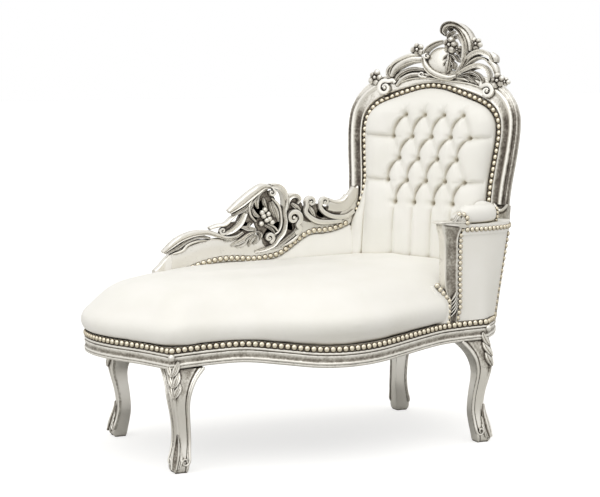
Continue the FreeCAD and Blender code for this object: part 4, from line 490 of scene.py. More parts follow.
x_first, x_last = CENTRE_X - HALF_X + POST_REACH, CENTRE_X + HALF_X - POST_REACH
y_first, y_last = CENTRE_Y - HALF_Y + POST_REACH, CENTRE_Y + HALF_Y - POST_REACH
seat_rail("front_rail", lambda x, inset, z: Vector((x, front_edge(x) + inset, z)), front_nail,
          lambda x: slope_height(x) - DECK_DROP, evenly(x_first, x_last, 65))
seat_rail("rear_rail", lambda x, inset, z: Vector((x, rear_edge(x) - inset, z)), slope_height,
          lambda x: slope_height(x) - DECK_DROP, evenly(x_first, x_last, 41))
seat_rail("foot_rail", lambda y, inset, z: Vector((foot_edge(y) + inset, y, z)), foot_nail,
          lambda y: slope_height(foot_edge(y)) - DECK_DROP, evenly(y_first, y_last, 45))
seat_rail("head_rail", lambda y, inset, z: Vector((head_edge(y) - inset, y, z)),
          lambda y: slope_height(head_edge(y)), lambda y: slope_height(head_edge(y)) - DECK_DROP,
          evenly(y_first, y_last, 45))

# %% [markdown]
# ## Carved bands, leaves and scrolls
# A carver cuts the same few things again and again: a band with a channel, a leaf with a
# rib, a scroll that ends in a button, a flower. Each is a section carried along a curve
# that grows narrow and low at its ends, so one tool makes them all.

# %% The carver's sections: (across, height), both as shares
CUPPED_LEAF = [(-1, 0), (-0.95, 0.75), (-0.8, 1), (-0.62, 0.75), (-0.35, 0.35), (-0.1, 0.45), (0, 0.7), (0.1, 0.45),
               (0.35, 0.35), (0.62, 0.75), (0.8, 1), (0.95, 0.75), (1, 0)]
HEART_WAX = 0.7
FLAT_BAND = [(-1, 0), (-0.95, 0.7), (-0.8, 0.95), (-0.4, 1), (0.4, 1), (0.8, 0.95), (0.95, 0.7), (1, 0)]
ROUND_BAND = [(-1, 0), (-0.88, 0.5), (-0.55, 0.87), (0, 1), (0.55, 0.87), (0.88, 0.5), (1, 0)]
CHANNELLED = [(-1, 0), (-0.97, 0.55), (-0.8, 0.95), (-0.62, 0.90), (-0.35, 0.68), (0, 0.62), (0.35, 0.68),
              (0.62, 0.90), (0.8, 0.95), (0.97, 0.55), (1, 0)]
RIBBED_LEAF = [(-1, 0), (-0.95, 0.50), (-0.75, 0.68), (-0.45, 0.62), (-0.20, 0.58), (-0.08, 0.95), (0.08, 0.95),
               (0.20, 0.58), (0.45, 0.62), (0.75, 0.68), (0.95, 0.50), (1, 0)]
BEADED_EDGE = [(-1, 0), (-0.95, 0.7), (-0.8, 1), (-0.62, 0.85), (-0.5, 0.58), (-0.1, 0.68), (0.3, 0.78), (0.7, 0.72),
               (0.95, 0.40), (1, 0)]


# %% A carved band along a curve, waxed in its low places and rubbed bright on its high ones
WAX_LOW, WAX_HIGH, WAX_BACK = 0.52, -0.18, 0.25
BACK_NARROW = 0.9


def strap(bm, points, half_widths, heights, section, count, facing=None, floor=0.0, wax=WAX_LOW, sink=3.0):
    """Carries a section along a curve; widths and heights are even lists from end to end."""
    line = curve_through(points, count)
    rings = []
    for index, point in enumerate(line):
        part = index / (count - 1)
        outward = Vector((0, 0, 1)) if facing is None else facing(part)
        ahead = (line[min(index + 1, count - 1)] - line[max(index - 1, 0)]).normalized()
        side = outward.cross(ahead).normalized()
        half, rise = shared(half_widths, part), shared(heights, part)
        base = point + outward * floor
        ring = [base + side * (half * across) + outward * (rise * height) for across, height in section]
        ring += [base + side * half * way * BACK_NARROW - outward * sink for way in (1, -1)]
        rings.append(ring)
    sweep(bm, rings, [wax * (1 - height) + WAX_HIGH for _, height in section] + [WAX_BACK] * 2)


# %% Buttons, scrolls and flowers
PETALS = 5
SCROLL_CLOSING = 0.72
SCROLL_EYE = 0.36


def button(bm, middle, radius, height, segments=10):
    """A domed button or berry."""
    made = bmesh.ops.create_uvsphere(bm, u_segments=segments, v_segments=6, radius=radius)
    scale = Matrix.Diagonal((1, 1, height / radius, 1))
    bmesh.ops.transform(bm, matrix=Matrix.Translation(Vector(middle).to_3d()) @ scale, verts=made["verts"])


def volute(bm, middle, radius, start, turn, half_width, height, floor=0.0, lead=()):
    """A scroll that winds in from a leading curve to a button at its eye."""
    x, y = middle
    winding = []
    for part in evenly(0, 1, 12):
        angle = math.radians(start + turn * part)
        reach = radius * (1 - SCROLL_CLOSING * part)
        winding.append((x + reach * math.cos(angle), y + reach * math.sin(angle), 0))
    full = [Vector(point).to_3d() for point in lead] + [Vector(point) for point in winding]
    strap(bm, full, [half_width * 0.8, half_width, half_width * 0.85, half_width * 0.45],
          [height * 0.7, height, height, height * 0.9], FLAT_BAND, 34, floor=floor)
    button(bm, (x, y, floor), radius * SCROLL_EYE, height * 1.15)


def blossom(bm, middle, radius, height, floor=0.0, turn=0.0):
    """A flower of rounded petals round a bud, a little uneven, waxed at its heart."""
    x, y = middle
    layer = bm.verts.layers.float["wax_and_shade"]
    for step in range(PETALS):
        angle = turn + 2 * math.pi * step / PETALS
        made = bmesh.ops.create_uvsphere(bm, u_segments=12, v_segments=8, radius=1)
        reach = radius * (0.58 + 0.07 * math.sin(2.3 * step + turn * 5))
        away = Vector((x + reach * math.cos(angle), y + reach * math.sin(angle), floor + height * 0.3))
        petal = Matrix.Rotation(angle, 4, "Z") @ Matrix.Rotation(-0.25, 4, "Y")
        bmesh.ops.transform(bm, matrix=Matrix.Translation(away) @ petal
                            @ Matrix.Diagonal((reach * 0.78, reach * 0.74, height * 0.62, 1)), verts=made["verts"])
        for vert in made["verts"]:
            vert[layer] = HEART_WAX * (1 - (vert.co.xy - Vector((x, y))).length / radius)
    button(bm, (x, y, floor + height * 0.45), radius * 0.26, height * 0.6)


# %% [markdown]
# ## Cabriole legs
# Each leg is cut from one block with its corner post. It swells at the knee, thins to the
# ankle and turns out at the toe. A bead runs down the inner edge of each show face and
# curls up at the foot; husks hang on the knee, and a small leaf covers the toe. The block
# is one section carried up the leg, and the carving is laid on it.

# %% The leg's block
KNEE = 96
LEG_INSET = 14
LEG_SHAPE = [
    (0.0, 0.42, 0.027), (0.035, 0.46, 0.059), (0.09, 0.47, 0.035), (0.18, 0.43, -0.053), (0.28, 0.40, -0.121),
    (0.38, 0.385, -0.125), (0.50, 0.40, -0.077), (0.60, 0.43, -0.009), (0.70, 0.49, 0.037), (0.79, 0.57, 0.009),
    (0.87, 0.66, -0.084), (0.93, 0.76, -0.214), (1.0, 0.92, -0.40)]
LEG_FACE = [(-0.88, -1.0), (-0.70, -0.97), (-0.60, -0.90), (-0.50, -0.95), (-0.2, -0.89), (0.2, -0.89), (0.46, -0.93),
            (0.54, -0.88), (0.60, -0.88), (0.68, -0.98), (0.80, -1.02), (0.92, -1.0), (0.99, -0.92)]
LEG_FACE_WAX = [-0.05, 0.08, 0.24, 0.12, 0.24, 0.26, 0.16, 0.50, 0.50, 0, -0.12, -0.05, 0.1]
GROOVE_WAX = 0.45
CORNER_SHADE = [(0.0, 0.15), (0.08, 0.40), (0.26, 0.40), (0.38, 0.0), (0.62, 0.0), (0.72, 0.35), (1.0, 0.40)]
FLARE_START = 0.84
TOE_ROUND = (0.84, 0.97)
CORNERS = {"leg_front_foot": (-1, -1), "leg_front_head": (1, -1), "leg_rear_foot": (-1, 1), "leg_rear_head": (1, 1)}


def long_edge(x, front_side):
    return front_edge(x) if front_side < 0 else rear_edge(x)


def short_edge(y, foot_side):
    return foot_edge(y) if foot_side < 0 else head_edge(y)


def leg_middle(foot_side, front_side, top, share):
    """Middle and half width of the leg's section at a share of its height."""
    width = smooth([(row[0], row[1]) for row in LEG_SHAPE], share) * KNEE
    out = smooth([(row[0], row[2]) for row in LEG_SHAPE], share) * KNEE * math.sqrt(0.5)
    return Vector((CENTRE_X + foot_side * (HALF_X - LEG_INSET + out),
                   CENTRE_Y + front_side * (HALF_Y - LEG_INSET + out), share * top)), width / 2


def post_corner(foot_side, front_side):
    """Where the two show faces meet at the post."""
    x_post = short_edge(CENTRE_Y + front_side * HALF_Y, foot_side)
    return x_post, long_edge(x_post, front_side)


def leg_point(foot_side, front_side, top, share, across, over):
    """Point of the section: across runs from the outer corner along the front, over along the side."""
    middle, half = leg_middle(foot_side, front_side, top, share)
    point = middle + Vector((-foot_side * across * half, -front_side * over * half, 0))
    flare = smooth([(FLARE_START, 0), (1.0, 1)], share)
    if flare > 0:
        crown, crown_half = leg_middle(foot_side, front_side, top, 1.0)
        x_post, y_post = post_corner(foot_side, front_side)
        point.x += flare * (1 - across) / 2 * (x_post - crown.x - foot_side * crown_half)
        point.y += flare * (1 - over) / 2 * (y_post - crown.y - front_side * crown_half)
    return point


# %% One leg, with wax in the grooves and painted shade under the rail
LEG_BACK = [(1.0, -0.3), (1.0, 0.3), (0.96, 0.86), (0.86, 0.96), (0.3, 1.0), (-0.3, 1.0)]
LEG_CORNER = -0.965
LEG_STATIONS = 40
# the leg is painted darker near the rail and paler lower down: painted shade under the rail and painted light below it
LEG_WAX_AND_SHADE = [(0.0, 0.5), (0.3, 0.3), (0.65, 0.4), (0.82, 1.2), (1.0, 1.5)]
LEG_PALE = [(0.0, 0.10), (0.6, 0.20), (0.8, 0.02), (1.0, 0.0)]
CORNER_ROWS = 4


def leg_wax_and_shade(share):
    """Wax and painted shade round the leg's section at a share of its height: darker under the rail, paler lower down.
    """
    deep, pale, shade = (smooth(table, share) for table in (LEG_WAX_AND_SHADE, LEG_PALE, CORNER_SHADE))
    face = [tone if tone >= GROOVE_WAX else (tone * deep if tone > 0 else tone) - pale for tone in LEG_FACE_WAX]
    face[:CORNER_ROWS] = [tone + shade for tone in face[:CORNER_ROWS]]
    return [-0.05 - pale] + face + [0.12 - pale] * len(LEG_BACK) + face[::-1]


def leg(name, foot_side, front_side):
    """A cabriole leg with its post and carving."""
    bm = bmesh.new()
    x_corner = CENTRE_X + foot_side * HALF_X
    nail = front_nail(x_corner) if front_side < 0 else slope_height(x_corner)
    top = nail - RAIL_DROP
    section = [(LEG_CORNER, LEG_CORNER)] + LEG_FACE + LEG_BACK + [(over, across) for across, over in LEG_FACE[::-1]]
    heights = evenly(0, 1, LEG_STATIONS)
    rings = [[leg_point(foot_side, front_side, top, share, across, over) for across, over in section]
             for share in heights]
    for ring, grow in zip(rings, TOE_ROUND):
        middle = sum(ring, Vector()) / len(ring)
        for point in ring:
            point.xy = middle.xy.lerp(point.xy, grow)
    sweep(bm, rings, [leg_wax_and_shade(share) for share in heights])
    post(bm, foot_side, front_side, top, nail)
    leg_carving(bm, foot_side, front_side, top, nail)
    return finished(bm, name + "_carved", "silver_leaf_wood", [name], sharp=40)


# %% [markdown]
# ### The corner posts
# Above each leg its post stands between two rails. On the real frame the mouldings are cut
# across it and meet in a mitre at the corner. The rails' own section is carried round the
# corner here, so that every line runs on without a step.

# %% The post between the rails
POST_BACK = 20
POST_STEP = 8


def post(bm, foot_side, front_side, top, nail):
    """The rails' mouldings carried round the corner and mitred there."""
    x_post, y_post = post_corner(foot_side, front_side)
    x_joint = CENTRE_X + foot_side * (HALF_X - POST_REACH)
    y_joint = CENTRE_Y + front_side * (HALF_Y - POST_REACH)
    section = [(min(inset, POST_BACK), rise) for inset, rise, _ in RAIL_FACE]
    rings = [[Vector((x, long_edge(x, front_side) - front_side * inset,
                      (front_nail(x) if front_side < 0 else slope_height(x)) + rise)) for inset, rise in section]
             for x in evenly(x_joint, x_post - foot_side * POST_STEP, 5)]
    rings.append([Vector((x_post - foot_side * inset, y_post - front_side * inset, nail + rise))
                  for inset, rise in section])
    rings += [[Vector((short_edge(y, foot_side) - foot_side * inset, y,
                       (foot_nail(y) if foot_side < 0 else slope_height(head_edge(y))) + rise))
               for inset, rise in section] for y in evenly(y_post - front_side * POST_STEP, y_joint, 5)]
    sweep(bm, rings, [wax for _, _, wax in RAIL_FACE])


# %% [markdown]
# ### The carving of a leg
# Three pairs of husks hang below a bud on the corner. A bead follows the inner edge of each
# show face and curls up at the foot, and a cupped leaf with small ribs covers the toe. A
# carver leaves them standing when the block is shaped; here they are laid on it.

# %% Husks below the nails, edge beads with a scroll, and a leaf on the toe
BUD_DROP, BUD_SIZE = 19, (9, 9, 10.5)
HUSK_TOPS = (30, 59, 88)
HUSK_LINE = [(40, 0.5), (27, 9), (12, 16), (0, 19)]
HUSK_TURN = 1.5
CURL_SHARE, CURL_ACROSS, CURL_RADIUS, CURL_CLOSING, CURL_TURN = 0.115, 0.38, 13, 0.66, 380
TOE_LEAF = (0.37, 0.29, 0.18, 0.05)
TOE_WAX = 0.85
TOE_SIDE_LEAVES = [[(0.31, 4), (0.20, 8), (0.05, 6)], [(0.25, 10), (0.16, 13), (0.05, 10)],
                   [(0.18, 16), (0.12, 18), (0.05, 15)]]


def leg_carving(bm, foot_side, front_side, top, nail):
    """The carving that lies on the block."""
    diagonal = Vector((foot_side, front_side, 0)).normalized()
    ways = (Vector((0, front_side, 0)), Vector((foot_side, 0, 0)))
    inwards = (Vector((-foot_side, 0, 0)), Vector((0, -front_side, 0)))

    def ridge(height):
        """Outer corner of the leg, or of its post above it."""
        if height < top:
            return leg_point(foot_side, front_side, top, height / top, LEG_CORNER, LEG_CORNER)
        x_post, y_post = post_corner(foot_side, front_side)
        return Vector((x_post - foot_side * 1.5, y_post - front_side * 1.5, height))

    def spot(face, share, across):
        """Point of a show face."""
        pair = (across, -1.0) if face == 0 else (-1.0, across)
        return leg_point(foot_side, front_side, top, share, *pair)

    bud = bmesh.ops.create_uvsphere(bm, u_segments=12, v_segments=8, radius=1)
    bmesh.ops.transform(bm, matrix=Matrix.Translation(ridge(nail - BUD_DROP)) @ Matrix.Diagonal((*BUD_SIZE, 1)),
                        verts=bud["verts"])
    for drop in HUSK_TOPS:
        for face in (0, 1):
            line = [ridge(nail - drop - down) + inwards[face] * away for down, away in HUSK_LINE]
            way = (diagonal + ways[face] * HUSK_TURN).normalized()
            strap(bm, line, [2.5, 8, 8.5, 3], [5, 9, 9, 4], RIBBED_LEAF, 12, facing=lambda part, way=way: way)
    for face in (0, 1):
        way = ways[face]
        edge = [spot(face, share, 0.9) for share in evenly(1.0, 0.2, 10)]
        eye = spot(face, CURL_SHARE, CURL_ACROSS)
        reach = (spot(face, CURL_SHARE, 1.0) - spot(face, CURL_SHARE, 0)).normalized()
        curl = []
        for part in evenly(0, 1, 10):
            turn = -part * math.radians(CURL_TURN)
            curl.append(eye + (reach * math.cos(turn) + Vector((0, 0, 1)) * math.sin(turn))
                        * (CURL_RADIUS * (1 - CURL_CLOSING * part)))
        strap(bm, edge + curl, [4.5, 4.2, 4.0, 4.0, 3.8, 2.4], [3.6, 3.6, 3.6, 4.0, 5.0, 5.0], ROUND_BAND, 48,
              facing=lambda part, way=way: way, sink=5)
        for row in TOE_SIDE_LEAVES:
            line = [ridge(share * top) + inwards[face] * away for share, away in row]
            strap(bm, line, [1.5, 3.2, 2.4], [3, 6, 4], ROUND_BAND, 10, facing=lambda part, way=way: way)
    strap(bm, [ridge(share * top) for share in TOE_LEAF], [2.5, 9, 12, 9], [3, 7, 8, 5], CUPPED_LEAF, 16,
          facing=lambda part: diagonal, wax=TOE_WAX)


for name, (foot_side, front_side) in CORNERS.items():
    leg(name, foot_side, front_side)

# %% [markdown]
# ## The tall back's frame
# The back stands on its own leaning plane, so its frame is drawn flat, u across and v up,
# and one matrix stands it in the room. The same mouldings run up one stile, over the crest
# and down the other: a sunk lip for the nails, a dark hollow, a bright bead, an outer flute.

# %% The back's plane, its opening and its outer edge
BACK_PLACE = Matrix(((0.55919, 0.11538, -0.82097, 435), (-0.82904, 0.07782, -0.55375, 85),
                     (0.0, 0.99027, 0.13917, 620), (0, 0, 0, 1)))
OUTER_SHAPE = [(1.0, 0.0), (0.99, 0.13), (1.005, 0.27), (1.035, 0.42), (1.055, 0.56), (1.055, 0.66), (1.03, 0.74),
               (0.96, 0.82), (0.83, 0.895), (0.64, 0.945), (0.42, 0.972), (0.21, 0.99), (0.0, 1.0)]
OPENING_SHAPE = [(1.0, 0.0), (1.0, 0.16), (1.01, 0.30), (1.04, 0.45), (1.075, 0.60), (1.08, 0.70), (1.05, 0.775),
                 (0.95, 0.845), (0.80, 0.89), (0.61, 0.925), (0.40, 0.96), (0.19, 0.99), (0.0, 1.0)]
OUTER_HALF, CREST_HEIGHT = 275, 468
OPENING_HALF, OPENING_HEIGHT = 204, 407


def arch(shape, half, height):
    """The whole arch, right foot over the top to the left foot."""
    right = [Vector((across * half, up * height, 0)) for across, up in shape]
    return right + [Vector((-point.x, point.y, 0)) for point in reversed(right[:-1])]


outer_arch = arch(OUTER_SHAPE, OUTER_HALF, CREST_HEIGHT)
opening_arch = arch(OPENING_SHAPE, OPENING_HALF, OPENING_HEIGHT)
print("the arches have", len(outer_arch), "rows")


# %% Moulded stiles and crest rail
# (share from the opening to the outer edge, height over the back's plane, wax)
BAND_SECTION = [
    (0.0, 4, 0.35), (0.235, 4, 0.4), (0.25, 7, 0.15), (0.27, 10, -0.05), (0.30, 10.5, -0.1), (0.33, 8, 0.3),
    (0.38, 5, 0.55), (0.45, 3.6, 0.62), (0.53, 4.4, 0.60), (0.59, 7.5, 0.40), (0.63, 11.5, 0.05), (0.68, 14, -0.12),
    (0.74, 14, -0.05), (0.785, 11.5, 0.30), (0.80, 8.5, 0.60), (0.83, 7, 0.55), (0.88, 7.4, 0.50), (0.91, 6, 0.60),
    (0.93, 6.5, 0.25), (0.965, 5.5, 0.35), (0.99, 1.5, 0.5), (1.0, -4, 0.5), (0.99, -14, 0.2), (0.965, -22, 0.15),
    (0.92, -26, 0.2), (0.0, -26, 0.3)]
STILE_JOINT_ROW = 5.42
CREST_CALM = [(5.4, 0.0), (8.0, 1.0), (16.0, 1.0), (18.6, 0.0)]
CALM_LEVEL = 9.0
CALM_FADE = 0.85
NAIL_LIP = 0.24


def frame_band(bm, places):
    """The moulded section between the opening and the outer edge."""
    rings, tones = [], []
    for place in places:
        inner, outer = row_point(opening_arch, place), row_point(outer_arch, place)
        calm = smooth(CREST_CALM, place)
        ring = []
        for share, level, _ in BAND_SECTION:
            if 0.3 < share < 0.6 and level > 0:
                level += calm * (CALM_LEVEL - level)
            ring.append(inner + (outer - inner) * share + Vector((0, 0, level)))
        rings.append(ring)
        tones.append([wax * (1 - CALM_FADE * calm) if share > NAIL_LIP else wax for share, _, wax in BAND_SECTION])
    sweep(bm, rings, tones)


# %% The stiles stand on plain blocks, with a small carved cup between block and moulding
LAST_ROW = len(outer_arch) - 1
STILE_FOOT, STILE_TAPER = -284, 22
STILE_BACK, STILE_FACE, NAIL_LEVEL = -26, 3, 3.5
CUP_FOOT = 48
CUP_LINE = [(-24, 16), (-12, 4), (0, -4), (11, 4), (19, 16)]
BLOCK_WAX = 0.34


def stile(name, side):
    """One stile: moulded above the arm, a plain block hidden by the upholstery below."""
    bm = bmesh.new()
    places = evenly(1.0, STILE_JOINT_ROW, 26)
    frame_band(bm, [place if side > 0 else LAST_ROW - place for place in places])
    rings = []
    for height, narrow in ((STILE_FOOT, 0), (-200, 0), (0, 0), (40, 0), (CUP_FOOT + 14, 4)):
        outer_x = OUTER_HALF - STILE_TAPER * max(0.0, height / STILE_FOOT) - 3
        rings.append([Vector((side * across, height, level)) for across, level in (
            (OPENING_HALF, STILE_BACK), (outer_x, STILE_BACK), (outer_x, STILE_FACE - narrow),
            (OPENING_HALF + 26, STILE_FACE - narrow), (OPENING_HALF + 20, NAIL_LEVEL), (OPENING_HALF, NAIL_LEVEL))])
    sweep(bm, rings, [BLOCK_WAX] * 6)
    middle = side * (OUTER_HALF - 20)
    strap(bm, [(middle + across, CUP_FOOT + up, 0) for across, up in CUP_LINE], [3, 5, 6, 5, 3], [9, 12, 13, 12, 9],
          ROUND_BAND, 14)
    finished(bm, name + "_moulded", "silver_leaf_wood", [name], BACK_PLACE, sharp=40)


stile("back_stile_right", 1)
stile("back_stile_left", -1)
crest_bm = bmesh.new()
frame_band(crest_bm, evenly(STILE_JOINT_ROW, LAST_ROW - STILE_JOINT_ROW, 70))
finished(crest_bm, "back_crest_rail_moulded", "silver_leaf_wood", ["back_crest_rail"], BACK_PLACE, sharp=40)

# %% [markdown]
# ## Crest carving
# Over the crest lie a scroll at each shoulder, clusters of flowers, long curling leaves, a
# shield with a raised rim, a hanging leaf, a bouquet, and a tall hooked scroll that leans
# to one side. Each is placed by its measured spot on the back's plane.

# %% Bands and leaves of the crest: points, half widths, heights, section
CREST_BANDS = [
    # long leaves on the left shoulder
    ([(-145, 440), (-133, 462), (-107, 481), (-76, 492), (-38, 494)], [7, 11, 13, 12, 8], [9, 13, 15, 14, 8],
     BEADED_EDGE),
    ([(-155, 463), (-136, 482), (-109, 496), (-81, 505), (-53, 507)], [4, 6, 7, 7, 4], [11, 15, 16, 15, 10],
     ROUND_BAND),
    ([(-132, 422), (-116, 444), (-89, 459), (-61, 464), (-25, 460)], [5, 7, 7, 6, 4], [7, 12, 13, 12, 8], RIBBED_LEAF),
    ([(-124, 413), (-107, 431), (-80, 444), (-44, 447), (-8, 444)], [5, 7, 7, 6, 4], [6, 10, 11, 10, 7], BEADED_EDGE),
    ([(-138, 480), (-153, 462), (-155, 446), (-144, 431)], [4, 8, 8, 4], [12, 16, 15, 8], RIBBED_LEAF),
    # bead along the foot of the carving
    ([(-128, 410), (-107, 424), (-75, 434), (-35, 437), (21, 433), (65, 428), (117, 422), (157, 412), (170, 404)],
     [2, 3, 3, 3, 3, 3, 3, 3, 2], [4, 6, 6, 6, 6, 6, 6, 6, 4], ROUND_BAND),
    # shield rim
    ([(-22, 503), (-31, 512), (-20, 528), (2, 541), (26, 549)], [3, 5, 5, 5, 4], [10, 16, 17, 17, 12], CHANNELLED),
    ([(-37, 500), (-28, 476), (-6, 455), (25, 442), (57, 437), (80, 444)], [6, 9, 10, 10, 9, 6],
     [10, 14, 16, 16, 14, 10], BEADED_EDGE),
    # hooked scroll
    ([(93, 456), (104, 487), (107, 519), (102, 549), (88, 574), (67, 589), (50, 591), (45, 584), (52, 579)],
     [4, 6, 8, 8, 8, 6, 5, 4, 3], [12, 18, 22, 24, 26, 28, 26, 22, 16], CHANNELLED),
    ([(121, 520), (119, 549), (105, 574), (82, 592), (56, 600), (32, 594), (24, 577), (34, 567)],
     [8, 10, 11, 10, 9, 8, 6, 4], [12, 18, 22, 26, 30, 28, 22, 14], BEADED_EDGE),
    ([(133, 524), (128, 551), (112, 578), (86, 598), (56, 605)], [3, 4, 4, 4, 3], [10, 15, 18, 20, 20], ROUND_BAND),
    # pierced fan of acanthus on the right shoulder
    ([(76, 448), (103, 478), (126, 505), (156, 516), (184, 505), (199, 484)], [5, 7, 8, 9, 8, 5],
     [12, 16, 18, 18, 16, 10], CHANNELLED),
    ([(81, 450), (109, 474), (131, 492), (153, 500), (173, 494), (186, 480)], [3, 4, 4, 4, 4, 3],
     [10, 12, 12, 12, 10, 6], ROUND_BAND),
    ([(82, 446), (117, 465), (148, 475), (171, 470), (188, 450), (190, 431)], [5, 7, 8, 8, 7, 4],
     [12, 16, 17, 16, 14, 8], CHANNELLED),
    ([(88, 444), (126, 454), (148, 449), (165, 433), (172, 412)], [4, 6, 7, 6, 4], [10, 14, 15, 14, 8], RIBBED_LEAF),
    ([(90, 441), (115, 444), (136, 432), (150, 420)], [3, 5, 5, 3], [9, 12, 12, 6], RIBBED_LEAF),
    ([(88, 437), (108, 434), (124, 427)], [3, 4, 2], [8, 10, 5], ROUND_BAND),
    ([(185, 490), (203, 472), (214, 447)], [8, 10, 6], [10, 12, 8], BEADED_EDGE),
    ([(190, 512), (203, 500), (205, 486)], [6, 9, 6], [9, 12, 8], ROUND_BAND),
    # leaf that hangs in the shield
    ([(53, 513), (53, 490), (50, 472), (46, 449)], [5, 9, 8, 2], [16, 17, 16, 8], RIBBED_LEAF),
    ([(51, 508), (40, 501), (30, 488)], [3, 5, 2], [14, 15, 8], RIBBED_LEAF),
    ([(50, 492), (41, 484), (33, 471)], [3, 5, 2], [13, 14, 7], RIBBED_LEAF),
    ([(55, 508), (70, 502), (83, 487)], [4, 7, 3], [14, 15, 8], RIBBED_LEAF),
    ([(56, 490), (68, 478), (67, 463)], [3, 6, 2], [13, 14, 7], RIBBED_LEAF),
    ([(61, 560), (72, 566), (84, 556), (90, 540)], [4, 6, 6, 3], [10, 12, 12, 8], RIBBED_LEAF),
    ([(40, 556), (44, 570), (60, 580)], [3, 6, 3], [8, 12, 8], RIBBED_LEAF),
]

# %% Scrolls, flowers and shield of the crest
# middle, radius, start, turn, half width, height, leading points
CREST_VOLUTES = [
    ((-162, 404), 24, 60, 470, 7.5, 13, [(-128, 420), (-136, 428)]),
    ((187, 398), 21, 120, -440, 7, 12, [(166, 428), (166, 412)]),
    ((-22, 503), 9, 100, 360, 3, 16, []),
    ((-36, 445), 9, 200, -360, 3, 12, [(-20, 438)]),
]
# middle, radius, height
CREST_FLOWERS = [
    ((-200, 436), 24, 14), ((-58, 523), 22, 15), ((54, 537), 25, 24), ((82, 522), 14, 20), ((92, 506), 9, 15),
    ((140, 541), 20, 16), ((218, 431), 23, 14), ((243, 428), 15, 12),
]
SHIELD_MIDDLE, SHIELD_SIZE = (20, 488), (46, 44, 12)

# %% Carve the crest
CREST_FLOOR, CREST_SINK, SHIELD_SINK = 10, 14, 4
crest = bmesh.new()
for points, widths, heights, section in CREST_BANDS:
    strap(crest, points, widths, heights, section, max(14, 4 * len(points)), floor=CREST_FLOOR, sink=CREST_SINK)
for middle, radius, start, turn, half_width, height, lead in CREST_VOLUTES:
    volute(crest, middle, radius, start, turn, half_width, height, CREST_FLOOR, lead)
for index, (middle, radius, height) in enumerate(CREST_FLOWERS):
    blossom(crest, middle, radius, height, CREST_FLOOR, index * 0.7)
shield = bmesh.ops.create_uvsphere(crest, u_segments=28, v_segments=14, radius=1)
bmesh.ops.transform(crest, matrix=Matrix.Translation((*SHIELD_MIDDLE, CREST_FLOOR - SHIELD_SINK))
                    @ Matrix.Diagonal((*SHIELD_SIZE, 1)), verts=shield["verts"])
finished(crest, "crest_carving_leafed", "silver_leaf_wood", ["crest_carving"], BACK_PLACE, sharp=50)

# %% [markdown]
# ## Low carved rail
# Along the rear a board rises from the foot end in a long sweep. Its top edge is carved
# with a strap leaf, a wing that climbs to a peak, berries, and three scrolls in a row. The
# board is one moulded section with the same wave as the nails, and the carving covers it.

# %% The board of the low rail
LOW_NAIL = [(-0.72, 0.30), (-0.50, 0.322), (-0.463, 0.338), (-0.38, 0.362), (-0.289, 0.376), (-0.189, 0.378),
            (-0.048, 0.369), (0.10, 0.390), (0.164, 0.424), (0.228, 0.470), (0.287, 0.508), (0.347, 0.533),
            (0.424, 0.536), (0.492, 0.544), (0.565, 0.566), (0.623, 0.597), (0.675, 0.655), (0.71, 0.74)]
LOW_TOP = [(-0.723, 0.325), (-0.69, 0.355), (-0.65, 0.400), (-0.58, 0.448), (-0.498, 0.475), (-0.374, 0.508),
           (-0.208, 0.508), (-0.042, 0.497), (0.083, 0.530), (0.166, 0.576), (0.249, 0.625), (0.353, 0.645),
           (0.457, 0.652), (0.540, 0.662), (0.592, 0.714), (0.65, 0.80), (0.70, 0.84)]
LOW_FRONT = 282
LOW_REACH = 468
LOW_POST = (-366, -310)
LOW_END = 306
LOW_PLACE = Matrix(((1, 0, 0, 0), (0, 0, -1, LOW_FRONT), (0, 1, 0, 0), (0, 0, 0, 1)))


def low_nail(x):
    """Height of the low rail's nail row."""
    return NAIL_LINE + LOW_REACH * smooth(LOW_NAIL, (x - CENTRE_X) / HALF_X)


def low_top(x):
    """Height of the board's top edge."""
    return NAIL_LINE + LOW_REACH * smooth(LOW_TOP, (x - CENTRE_X) / HALF_X)


low = bmesh.new()
rings = []
for x in evenly(LOW_POST[1] - 4, LOW_END, 56):
    foot, head = low_nail(x) - NAIL_BAND, low_top(x)
    rings.append([Vector((x, height, level)) for height, level in (
        (foot, 0), (foot + 17.7, 0), (foot + 18.5, 1.5), (foot + (head - foot) * 0.6, 0.5), (head - 5, 1.5),
        (head - 1, -1), (head, -6), (head, -24), (head - 4, -30), (foot, -30))])
sweep(low, rings)
rings = []
for x in evenly(LOW_POST[0], LOW_POST[1], 9):
    head = low_top(x)
    foot = slope_height(x) + NAIL_BAND + 1
    rings.append([Vector((x, height, level)) for height, level in (
        (foot, 0), (head - 5, 0.5), (head - 1, -2), (head, -6), (head, -24), (head - 4, -30), (foot, -30))])
sweep(low, rings)
finished(low, "low_rail_moulded", "silver_leaf_wood", ["low_rail"], LOW_PLACE, sharp=40)

